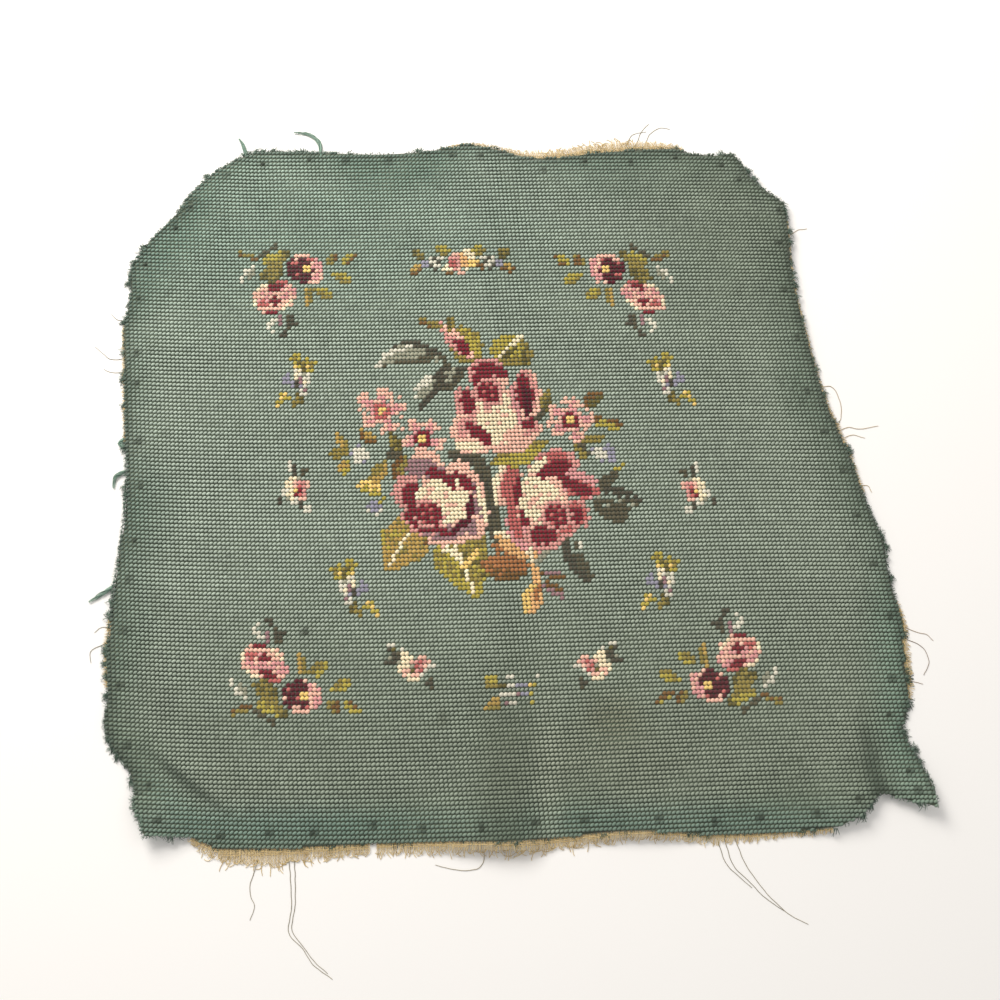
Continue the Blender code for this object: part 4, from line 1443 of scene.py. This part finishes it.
    def make_stitches(self, chart: Chart) -> list[bpy.types.Object]:
        """Lays every stitch that the cut edge leaves, the ground in bands and the flowers apart.

        Args:
            chart: The design.

        Returns:
            The stitched pieces.
        """
        draw = np.random.default_rng(23)
        x, y = self.grid.place(chart.column.astype(float), chart.row.astype(float))
        x, y = self.grid.lift(x, y, self.form.height(x, y))
        near = (np.abs(x) < self.search) & (np.abs(y) < self.search)
        inset = np.full(x.shape, -1.0)
        inset[near] = self.form.inset(x[near], y[near])
        ragged = np.where(y < self.front, 0.3, 0.9) * MM * smooth_field(chart.column, chart.row, 4, 17)
        keep = inset > 0.4 * MM + ragged
        x, y, inset = x[keep], y[keep], inset[keep]
        colour, ground = self.colours(chart, keep, x, y, inset)
        normal = self.form.normal(x, y)
        slant = np.radians(self.slant + draw.normal(0, 4, len(x)))
        ahead = np.stack([np.cos(slant), np.sin(slant), np.zeros(len(x))], -1)
        ahead -= normal * (ahead * normal).sum(-1, keepdims=True)
        turn = turned(ahead, normal)
        centre = np.stack([x, y, self.form.height(x, y)], -1) - normal * 0.5 * self.stitch_height * MM
        row = chart.row[keep]
        tree = self.stitch_tree()
        made = []
        ends = np.linspace(row.min(), row.max() + 1, self.bands + 1)
        parts = {"flower_stitches": ~ground}
        for number in range(self.bands):
            parts[f"ground_stitches_{number + 1}"] = ground & (row >= ends[number]) & (row < ends[number + 1])
        for name, chosen in parts.items():
            if name == "flower_stitches":
                tree.values["Stitch Length"] = self.flower_length * MM
                tree.values["Stitch Width"] = self.flower_width * MM
            else:
                tree.values["Stitch Length"] = self.stitch_length * MM
                tree.values["Stitch Width"] = self.stitch_width * MM
            points = make_points(centre[chosen], turn=turn[chosen], wool_colour=colour[chosen])
            made.append(tree.grow(name, points))
        return made

    def make(self) -> list[bpy.types.Object]:
        """Makes the cloth's pieces, attaches them to the root body, and hides the solid that they stand for.

        Returns:
            The pieces, the sheet first.
        """
        chart = Design().work()
        sheet = self.make_sheet()
        stitches = self.make_stitches(chart)
        for piece in [sheet, *stitches]:
            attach(piece, "root")
        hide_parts(CLOTH)
        return [sheet, *stitches]


class Edge(Enum):
    """The cloth's four edges, by the direction that each faces."""

    FRONT = (0.0, -1.0)
    BACK = (0.0, 1.0)
    LEFT = (-1.0, 0.0)
    RIGHT = (1.0, 0.0)

    @property
    def axis(self) -> int:
        """Which of x and y, as 0 or 1, runs along the edge."""
        return 0 if self in (Edge.FRONT, Edge.BACK) else 1


Route = tuple[tuple[float, float], ...]


@dataclass(frozen=True)
class Strip:
    """What sticks out past one stretch of the cut edge.

    Widths are rows of how far along the edge, the woven width and the fray's length, all in millimetres.
    Threads are the routes of the long loose ones, from their roots, and thread_shades the two colours between
    which each has its own. Curl is how much the short threads bend at each step.
    """

    node: str
    edge: Edge
    widths: tuple[tuple[float, float, float], ...]
    threads: tuple[Route, ...]
    curl: float = 0.4
    thread_shades: tuple[str, str] = ("#877F6B", "#A89E86")


CANVAS_STRIPS = (
    Strip(
        "front_left_bare_canvas", Edge.FRONT,
        ((-173, 1.8, 2.5), (-152, 5.5, 5.5), (-128, 7.0, 6.0), (-104, 4.8, 4.2), (-73, 3.8, 3.2)), (
            ((-118, -206), (-115.4, -229), (-115.4, -245), (-108.6, -251), (-102.6, -259), (-91, -267)),
            ((-136, -208), (-139, -221), (-138, -225), (-136, -229), (-138, -237)),
            ((-115, -206), (-113.4, -228), (-114.0, -243), (-107.4, -251), (-101.4, -258), (-94, -264)),
        ), 0.7,
    ),
    Strip(
        "front_right_bare_canvas", Edge.FRONT,
        (
            (-69, 4.4, 3.0), (-10, 3.8, 3.6), (20, 4.8, 6.0), (42, 3.8, 5.0), (74, 2.6, 2.6), (120, 2.8, 3.0),
            (160, 1.5, 1.6), (187, 1.2, 1.5),
        ), (
            ((-8, -199), (-11, -209), (-18, -211), (-28, -210), (-36, -208)),
            ((132, -194), (137, -207), (142, -215), (152, -227), (160, -234), (170, -239)),
            ((122, -194), (127, -208), (133, -214), (140, -220)),
            ((126, -194), (131, -209), (139, -217), (148, -226), (157, -232)),
        ),
    ),
    Strip(
        "back_bare_canvas", Edge.BACK,
        ((-40, 1.2, 2.0), (5, 2.2, 2.5), (40, 4.5, 3.0), (78, 5.5, 5.0), (100, 4.5, 2.5), (123, 1.5, 1.5)), (
            ((97, 249), (102, 260), (109, 264), (115, 263)),
            ((91, 249), (97, 263), (101, 267)),
            ((84, 249), (90, 259), (99, 261)),
        ),
    ),
    Strip(
        "right_upper_bare_canvas", Edge.RIGHT,
        ((8, 0.5, 0.9), (45, 0.9, 1.4), (120, 0.5, 0.9), (192, 0.3, 0.7)), (
            ((189, 181), (196, 187), (202, 188)),
            ((199, 76), (209, 77), (213.6, 67), (213, 56), (210, 49)),
            ((210, 47), (217, 50), (224, 49), (236, 51)),
            ((212, 42), (219, 45), (227, 43)),
            ((220, 12), (226, 12), (228, 8)),
        ), thread_shades=("#A8926A", "#CBB689"),
    ),
    Strip(
        "right_lower_bare_canvas", Edge.RIGHT,
        ((-116, 1.0, 1.4), (-100, 2.6, 1.8), (-80, 2.2, 1.6), (-60, 0.7, 1.2)), (
            ((238, -74), (247, -78), (252, -79), (256, -83)),
            ((238, -81), (250, -88), (252, -95), (248, -103)),
            ((238, -106), (247, -108)),
        ), thread_shades=("#8E7C6C", "#B59E84"),
    ),
    Strip(
        "left_upper_bare_canvas", Edge.LEFT, ((40, 0.6, 0.9), (80, 0.9, 1.1), (118, 0.4, 0.8)), (
            ((-237, 96), (-248, 96), (-253, 100), (-258, 104)),
            ((-236, 87), (-247, 87), (-251, 89)),
            ((-239, 122), (-246, 123), (-250, 127)),
        ),
    ),
    Strip(
        "left_lower_bare_canvas", Edge.LEFT, ((-110, 0.6, 1.0), (-90, 1.2, 1.4), (-70, 0.6, 1.0)), (
            ((-229, -83), (-236, -86), (-241, -89), (-240, -96)),
            ((-229, -76), (-236, -75), (-240, -78)),
        ),
    ),
)
WOOL_STRIPS = (
    Strip(
        "back_left_wool_ends", Edge.BACK, ((-180, 1.0, 1.2), (-150, 1.2, 1.6), (-112, 1.0, 1.2)), (
            ((-170, 239), (-173, 250), (-178, 258)),
            ((-120, 242), (-123, 254), (-130, 259), (-142, 260)),
        ),
    ),
    Strip(
        "left_wool_ends", Edge.LEFT, ((-62, 1.0, 1.4), (-20, 1.2, 1.6), (30, 1.0, 1.4)), (
            ((-229, 22), (-236, 18), (-237, 9)),
            ((-230, -50), (-239, -56), (-246, -61)),
            ((-230, 36), (-236, 39), (-230, 45), (-228, 52)),
        ),
    ),
)


def smooth_route(points: Route, count: int) -> np.ndarray:
    """Draws a smooth curve through some points.

    Args:
        points: The points, in order.
        count: How many points to give along the curve.

    Returns:
        Rows of x and y.
    """
    known = np.array(points, float)
    along = np.concatenate([[0], np.cumsum(np.linalg.norm(np.diff(known, axis=0), axis=1))])
    slopes = np.gradient(known, along, axis=0)
    marks = np.linspace(0, along[-1], count)
    i = np.clip(np.searchsorted(along, marks, "right") - 1, 0, len(known) - 2)
    run = (along[i + 1] - along[i])[:, None]
    t = (marks - along[i])[:, None] / run
    return (
        (2 * t**3 - 3 * t**2 + 1) * known[i]
        + (t**3 - 2 * t**2 + t) * run * slopes[i]
        + (3 * t**2 - 2 * t**3) * known[i + 1]
        + (t**3 - t**2) * run * slopes[i + 1]
    )


class Strands:
    """Threads and fibres, kept as the lines that they follow until a tree gives them their thickness."""

    def __init__(self) -> None:
        """Starts with none."""
        self.places: list[np.ndarray] = []
        self.girths: list[np.ndarray] = []
        self.dyes: list[np.ndarray] = []

    def add(self, places: np.ndarray, girth: np.ndarray, dye: np.ndarray) -> None:
        """Adds one strand.

        Args:
            places: Rows of x, y and z, in millimetres.
            girth: The radius at each of them, in millimetres.
            dye: Its linear colour.
        """
        self.places.append(places * MM)
        self.girths.append(girth * MM)
        self.dyes.append(np.tile([*dye, 1.0], (len(places), 1)))

    @staticmethod
    def tree(material: bpy.types.Material, sides: int) -> Tree:
        """The tree that turns lines into round strands.

        Args:
            material: What they are made of.
            sides: How many sides each has.

        Returns:
            The tree.
        """
        tree = Tree(
            "strands",
            {
                "Sides": ("NodeSocketInt", sides),
                "Fullness": ("NodeSocketFloat", 1.0),
                "Material": ("NodeSocketMaterial", material),
            },
        )
        line = tree.add("GeometryNodeMeshToCurve", {"Mesh": tree.given("Points")})
        girth = tree.add(
            "ShaderNodeMath", {0: tree.attribute("girth"), 1: tree.given("Fullness")}, operation="MULTIPLY"
        )
        profile = tree.add(
            "GeometryNodeCurvePrimitiveCircle", {"Resolution": tree.given("Sides"), "Radius": 1.0}
        )
        tube = tree.add(
            "GeometryNodeCurveToMesh",
            {
                "Curve": line.outputs["Curve"],
                "Profile Curve": profile.outputs["Curve"],
                "Scale": girth.outputs[0],
                "Fill Caps": True,
            },
        )
        real = tree.add("GeometryNodeRealizeInstances", {"Geometry": tube.outputs["Mesh"]})
        tree.end(real.outputs["Geometry"])
        return tree

    def make(self, name: str, material: bpy.types.Material, sides: int) -> bpy.types.Object:
        """Makes all the strands one piece.

        Args:
            name: The piece's name.
            material: What they are made of.
            sides: How many sides each has.

        Returns:
            The piece.
        """
        lines = make_points(
            np.concatenate(self.places),
            girth=np.concatenate(self.girths),
            wool_colour=np.concatenate(self.dyes),
        )
        count = sum(len(places) for places in self.places)
        last = set(np.cumsum([len(places) for places in self.places]) - 1)
        pairs = np.array([(i, i + 1) for i in range(count) if i not in last])
        lines.data.edges.add(len(pairs))
        lines.data.edges.foreach_set("vertices", pairs.ravel())
        lines.data.update()
        return self.tree(material, sides).grow(name, lines)


@dataclass
class CutEdge:
    """All that frays at the cut edge: bare canvas, long loose threads, ends of wool, and fuzz."""

    form: ClothForm
    thread_pitch: float = STITCH / 3
    held_steps: int = 9
    fray_steps: int = 9
    crimp: float = 0.2
    woven_share: float = 0.5
    thread: float = 0.24
    tuck: float = 3.0
    rise: float = 0.9
    weave: float = 0.16
    long_thread: float = 0.19
    tail_fibres: int = 32
    tail_spread: float = 0.95
    fuzz_count: int = 9600
    fuzz_length: float = 2.0
    tufts: int = 120
    front_fuzz: float = 0.3
    back_fuzz: float = 0.6
    squarely: float = 0.8  # how directly an edge faces the front or the back, to count as that edge
    fibre_points: int = 4
    fibre_shades: tuple[str, str] = ("#3C5043", "#7F9383")
    tuft_cycle: int = 5  # of every so many fibres
    tuft_members: int = 2  # so many are in a tuft
    out_shades: tuple[str, str] = ("#CBB17C", "#EBD5A2")
    cross_shades: tuple[str, str] = ("#BFA673", "#DDC48E")
    tail_shades: tuple[str, str] = ("#71907F", "#A9C2B2")
    tail_points: int = 14

    def __post_init__(self) -> None:
        """Starts the random draws, and the two materials that strands are made of."""
        self.draw = np.random.default_rng(41)
        self.canvas = SpunThread().material
        self.wool = StitchedWool().material

    def stretch(self, strip: Strip, pitch: float) -> tuple[np.ndarray, np.ndarray, np.ndarray, np.ndarray]:
        """Follows the edge beside a strip.

        Args:
            strip: The strip.
            pitch: How far apart the places are to be, in millimetres.

        Returns:
            How far along each place is, the places, the direction away from the cloth at each, and how high
            the cloth's underside is there. All are in millimetres.
        """
        ring = self.form.outline / MM
        ahead = np.roll(ring, -1, 0) - np.roll(ring, 1, 0)
        outward = np.stack([ahead[:, 1], -ahead[:, 0]], -1) / np.linalg.norm(ahead, axis=1, keepdims=True)
        facing = ring[outward @ np.array(strip.edge.value) > 0.5]
        axis = strip.edge.axis
        facing = facing[np.argsort(facing[:, axis])]
        marks = np.arange(strip.widths[0][0], strip.widths[-1][0], pitch)
        level = np.interp(marks, facing[:, axis], facing[:, 1 - axis])
        tilt = np.gradient(level, marks)
        places = np.empty((len(marks), 2))
        places[:, axis], places[:, 1 - axis] = marks, level
        away = np.empty((len(marks), 2))
        side = sum(strip.edge.value)
        away[:, axis], away[:, 1 - axis] = -tilt * side, side
        away /= np.linalg.norm(away, axis=1, keepdims=True)
        face = self.form.height(places[:, 0] * MM, places[:, 1] * MM) / MM
        under = np.maximum(face - self.form.thickness / MM, 0)
        return marks, places, away, under

    def shade(self, first: str, second: str) -> np.ndarray:
        """A linear colour somewhere between two.

        Args:
            first: One, as sRGB hex.
            second: The other.

        Returns:
            The colour's red, green and blue.
        """
        t = self.draw.uniform()
        return (1 - t) * np.array(linear(first)) + t * np.array(linear(second))

    def droop(self, under: float, past: np.ndarray, radius: float) -> np.ndarray:
        """How high a thread lies at some distances past the woven part.

        Args:
            under: How high the cloth's underside is at its root.
            past: The distances.
            radius: The thread's radius.

        Returns:
            The heights, in millimetres.
        """
        share = np.clip(past / 7.0, 0, 1)
        return np.maximum((under + self.rise) * (1 - share) ** 2, radius)

    def out_threads(self, strands: Strands, strip: Strip) -> None:
        """Adds the threads that run out square to the edge, and curl past the last crossing.

        Args:
            strands: What they are added to.
            strip: The strip.
        """
        marks, places, away, under = self.stretch(strip, self.thread_pitch)
        along, woven, fray = np.array(strip.widths).T
        for i, mark in enumerate(marks):
            aside = np.array((-away[i, 1], away[i, 0]))
            width = max(np.interp(mark, along, woven) + self.draw.normal(0, 0.35), 0.2)
            step = np.interp(mark, along, fray) * self.draw.uniform(0.3, 1.5) / self.fray_steps
            sway = self.draw.normal(0, 0.12)
            held = np.linspace(-self.tuck, width, self.held_steps)
            crimp = self.crimp * np.where(np.arange(self.held_steps) % 2, 1, -1) * self.draw.uniform(0.3, 1.4)
            curl = self.draw.normal(0, strip.curl) * step + self.draw.normal(0, 0.12, self.fray_steps)
            bearing = self.draw.normal(0, 0.2) + np.cumsum(curl)
            out = np.concatenate([held, width + np.cumsum(step * np.cos(bearing))])
            over = np.concatenate([sway + crimp, sway + crimp[-1] + np.cumsum(step * np.sin(bearing))])
            past = np.concatenate([np.zeros(self.held_steps), step * np.arange(1, self.fray_steps + 1)])
            path = places[i] + out[:, None] * away[i] + over[:, None] * aside
            wave = self.weave * np.where((np.arange(len(out)) + i) % 2, 1, -1) * (past == 0)
            height = self.droop(under[i], past, self.thread) + wave
            girth = self.thread * np.linspace(1.0, 0.75, len(out))
            strands.add(np.column_stack([path, height]), girth, self.shade(*self.out_shades))

    def cross_threads(self, strands: Strands, strip: Strip) -> None:
        """Adds the threads that run along the edge and hold the others.

        Args:
            strands: What they are added to.
            strip: The strip.
        """
        marks, places, away, under = self.stretch(strip, 1.5 * self.thread_pitch)
        along, woven, _ = np.array(strip.widths).T
        woven = self.woven_share * woven + 0.5
        width = np.interp(marks, along, woven) + 0.5 * smooth_field(marks, marks, 30, 19)
        for number, offset in enumerate(np.arange(0.4, woven.max(), self.thread_pitch)):
            held = np.flatnonzero(width + 0.7 * smooth_field(marks, marks, 11, 90 + number) > offset)
            for run in np.split(held, np.flatnonzero(np.diff(held) > 1) + 1):
                if len(run) < 5:
                    continue
                bow = offset + 0.22 * smooth_field(marks[run], marks[run], 14, 60 + number)
                path = places[run] + bow[:, None] * away[run]
                wave = self.weave * np.where((run + number) % 4 < 2, 1, -1)
                height = np.maximum(under[run] + self.rise + wave, self.thread)
                girth = np.full(len(run), self.thread)
                strands.add(np.column_stack([path, height]), girth, self.shade(*self.cross_shades))

    def long_threads(self, strands: Strands, strip: Strip) -> None:
        """Adds the long loose threads, lying on the surface in their own curves.

        Args:
            strands: What they are added to.
            strip: The strip.
        """
        for route in strip.threads:
            count = max(12, int(0.9 * sum(math.dist(a, b) for a, b in zip(route, route[1:]))))
            path = smooth_route(route, count)
            step = np.arange(count)
            path += 0.18 * np.stack([smooth_field(step, step, 7, 2), smooth_field(step, step, 6, 8)], -1)
            face = self.form.height(*(path[0] * MM)) / MM
            under = max(float(face) - self.form.thickness / MM, 0)
            height = self.droop(under, np.linspace(0, 1.2 * count, count), self.long_thread)
            girth = self.long_thread * np.linspace(1.1, 0.75, count)
            strands.add(np.column_stack([path, height]), girth, self.shade(*strip.thread_shades))

    def tails(self, strands: Strands, strip: Strip) -> None:
        """Adds the long ends of ground wool, each a bundle of fibres that spreads towards its tip.

        Args:
            strands: What they are added to.
            strip: The strip.
        """
        for route in strip.threads:
            count = self.tail_points
            spine = smooth_route(route, count)
            heading = np.gradient(spine, axis=0)
            heading /= np.linalg.norm(heading, axis=1, keepdims=True)
            aside = np.stack([-heading[:, 1], heading[:, 0]], -1)
            share = np.linspace(0, 1, count)
            for _ in range(self.tail_fibres):
                turn = self.draw.uniform(0, 2 * math.pi) + share * self.draw.uniform(4, 7)
                spread = self.tail_spread * self.draw.uniform(0.2, 1.0) * (0.5 + np.sin(math.pi * share**0.8))
                path = spine + (spread * np.cos(turn))[:, None] * aside
                height = 0.75 + 0.6 * spread * np.sin(turn) + 0.9 * (1 - share) ** 3
                keep = max(6, int(count * self.draw.uniform(0.6, 1.0)))
                girth = 0.22 * np.linspace(1.1, 0.4, count)
                line = np.column_stack([path, np.maximum(height, 0.2)])
                strands.add(line[:keep], girth[:keep], self.shade(*self.tail_shades))

    def wool_ends(self, strands: Strands, strip: Strip) -> None:
        """Adds short ends of the ground wool along a strip.

        Args:
            strands: What they are added to.
            strip: The strip.
        """
        marks, places, away, under = self.stretch(strip, 1.3)
        for i in range(len(marks)):
            for _ in range(3):
                self.add_fibre(strands, places[i], away[i], under[i], self.draw.uniform(1.0, 3.2), 0.17)

    def add_fibre(
        self,
        strands: Strands,
        root: np.ndarray,
        away: np.ndarray,
        under: float,
        length: float,
        radius: float,
        lean: float = 0.0,
    ) -> None:
        """Adds one short fibre of wool that leaves the cut edge.

        Args:
            strands: What it is added to.
            root: Where on the edge it starts.
            away: The direction away from the cloth there.
            under: How high the cloth's underside is there.
            length: The fibre's length.
            radius: Its radius.
            lean: The angle, in radians, by which its neighbours lean along the edge.
        """
        curl = self.draw.normal(0, 0.6)
        count = self.fibre_points
        t = np.linspace(0, 1, count)
        aside = np.array((-away[1], away[0]))
        angle = lean + self.draw.normal(0, 0.4) + curl * t
        steps = (np.cos(angle)[:, None] * away + np.sin(angle)[:, None] * aside) * length / count
        path = root - 0.9 * away + self.draw.uniform(-0.8, 0.8) * aside + np.cumsum(steps, axis=0)
        start = self.draw.uniform(0.3, 2.2)
        sag = 0.9 * length * t**2 * start / 3
        height = np.maximum(under + start + self.draw.normal(0, 0.5) * t - sag, radius)
        shade = self.shade(*self.fibre_shades)
        strands.add(np.column_stack([path, height]), radius * np.linspace(1.1, 0.5, count), shade)

    def fuzz_share(self, away: np.ndarray) -> float:
        """The share of the fuzz that an edge keeps, by where it faces.

        Args:
            away: The direction away from the cloth there.

        Returns:
            The share, from 0 to 1.
        """
        if away[1] < -self.squarely:
            return self.front_fuzz
        if away[1] > self.squarely:
            return self.back_fuzz
        return 1.0

    def fuzz(self) -> bpy.types.Object:
        """Makes the fuzz of cut wool all round the edge, with a thicker tuft here and there.

        Returns:
            The fuzz.
        """
        strands = Strands()
        ring = self.form.outline / MM
        run = np.roll(ring, -1, 0) - ring
        length = np.linalg.norm(run, axis=1)
        along = np.concatenate([[0], np.cumsum(length)])
        middles = self.draw.uniform(0, along[-1], self.tufts)
        tufts = np.stack([middles, self.draw.normal(0, 0.9, self.tufts)], -1)
        for number in range(self.fuzz_count):
            mark, lean = self.draw.uniform(0, along[-1]), self.draw.normal(0, 0.6)
            tuft = number % self.tuft_cycle < self.tuft_members
            if tuft:
                middle, lean = self.draw.choice(tufts)
                mark = (middle + self.draw.normal(0, 0.8)) % along[-1]
            i = int(np.searchsorted(along, mark, "right")) - 1
            root = ring[i] + run[i] * (mark - along[i]) / length[i]
            away = np.array((run[i, 1], -run[i, 0])) / length[i]
            if self.draw.uniform() > self.fuzz_share(away):
                continue
            face = float(self.form.height(*(root * MM))) / MM
            reach = self.fuzz_length * self.draw.uniform(0.4, 1.5) * (2.0 if tuft else 1.0)
            radius = self.draw.uniform(0.15, 0.27)
            under = max(face - self.form.thickness / MM, 0)
            self.add_fibre(strands, root, away, under, reach, radius, lean)
        return strands.make("edge_fuzz", self.wool, 3)

    def make(self) -> list[bpy.types.Object]:
        """Makes each strip in the place of its solid, and the fuzz.

        Returns:
            The pieces.
        """
        made = []
        for strip in CANVAS_STRIPS:
            strands = Strands()
            self.out_threads(strands, strip)
            self.cross_threads(strands, strip)
            self.long_threads(strands, strip)
            piece = strands.make(f"{strip.node}_threads", self.canvas, 4)
            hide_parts(strip.node)
            made.append(piece)
        for strip in WOOL_STRIPS:
            strands = Strands()
            self.wool_ends(strands, strip)
            self.tails(strands, strip)
            piece = strands.make(f"{strip.node}_fibres", self.wool, 3)
            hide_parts(strip.node)
            made.append(piece)
        fuzz = self.fuzz()
        made.append(fuzz)
        for piece in made:
            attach(piece, "root")
        return made


@dataclass
class Studio:
    """A pale floor, soft daylight from the upper left, and the camera."""

    camera_height: float = 609.0
    camera_back: float = 160.0
    camera_tilt: float = 15.0
    lens: float = 37.08
    floor_colour: str = "#FAF8F5"

    def make_floor(self) -> None:
        """Makes the floor: a wide plain sheet, just under the panel."""
        mesh = bpy.data.meshes.new("floor")
        side = 2.5
        corners = [(-side, -side, 0), (side, -side, 0), (side, side, 0), (-side, side, 0)]
        mesh.from_pydata(corners, [], [(0, 1, 2, 3)])
        floor = bpy.data.objects.new("floor", mesh)
        floor.location.z = -0.05 * MM
        bpy.context.scene.collection.objects.link(floor)
        finish = Finish("painted_board", 0.55)
        paint = finish.mix(finish.spread(finish.noise(400.0), 0, 1), self.floor_colour, "#FBF9F6")
        finish.dress(paint, finish.noise(2.0), 0.02)
        mesh.materials.append(finish.material)

    def make_lights(self) -> None:
        """Makes the lights: a large one to the upper left, a weak one opposite, and an even sky."""
        for name, place, size, power in (
            ("window", (-0.6, 0.85, 0.85), 0.7, 18.8),
            ("room", (1.3, 0.5, 1.7), 1.6, 6.2),
        ):
            light = bpy.data.lights.new(name, "AREA")
            light.shape, light.size, light.energy = "SQUARE", size, power
            light.color = linear("#FFFBF6")
            holder = bpy.data.objects.new(name, light)
            holder.location = place
            holder.rotation_euler = Vector(place).to_track_quat("Z", "Y").to_euler()
            bpy.context.scene.collection.objects.link(holder)
        world = bpy.data.worlds.new("sky")
        world.use_nodes = True
        sky = world.node_tree.nodes["Background"]
        sky.inputs["Color"].default_value = (*linear("#FCFBFA"), 1.0)
        sky.inputs["Strength"].default_value = 0.5
        bpy.context.scene.world = world

    def make_camera(self) -> None:
        """Sets the camera over the panel's front half, tilted a little towards its back."""
        camera = bpy.data.objects.new("camera", bpy.data.cameras.new("camera"))
        camera.location = (0.0, -self.camera_back * MM, self.camera_height * MM)
        camera.rotation_euler = (math.radians(self.camera_tilt), 0.0, 0.0)
        camera.data.lens = self.lens
        bpy.context.scene.collection.objects.link(camera)
        bpy.context.scene.camera = camera

    def make(self) -> None:
        """Makes all of it."""
        self.make_floor()
        self.make_lights()
        self.make_camera()
        bpy.context.scene.view_settings.view_transform = "Standard"


def main() -> None:
    """Builds the panel and its studio."""
    Studio().make()
    form = ClothForm()
    LOG.info("outline of %d points, %.4f square metres", len(form.outline), form.area())
    pieces = StitchedCloth(form).make() + CutEdge(form).make()


if __name__ == "__main__":
    main()
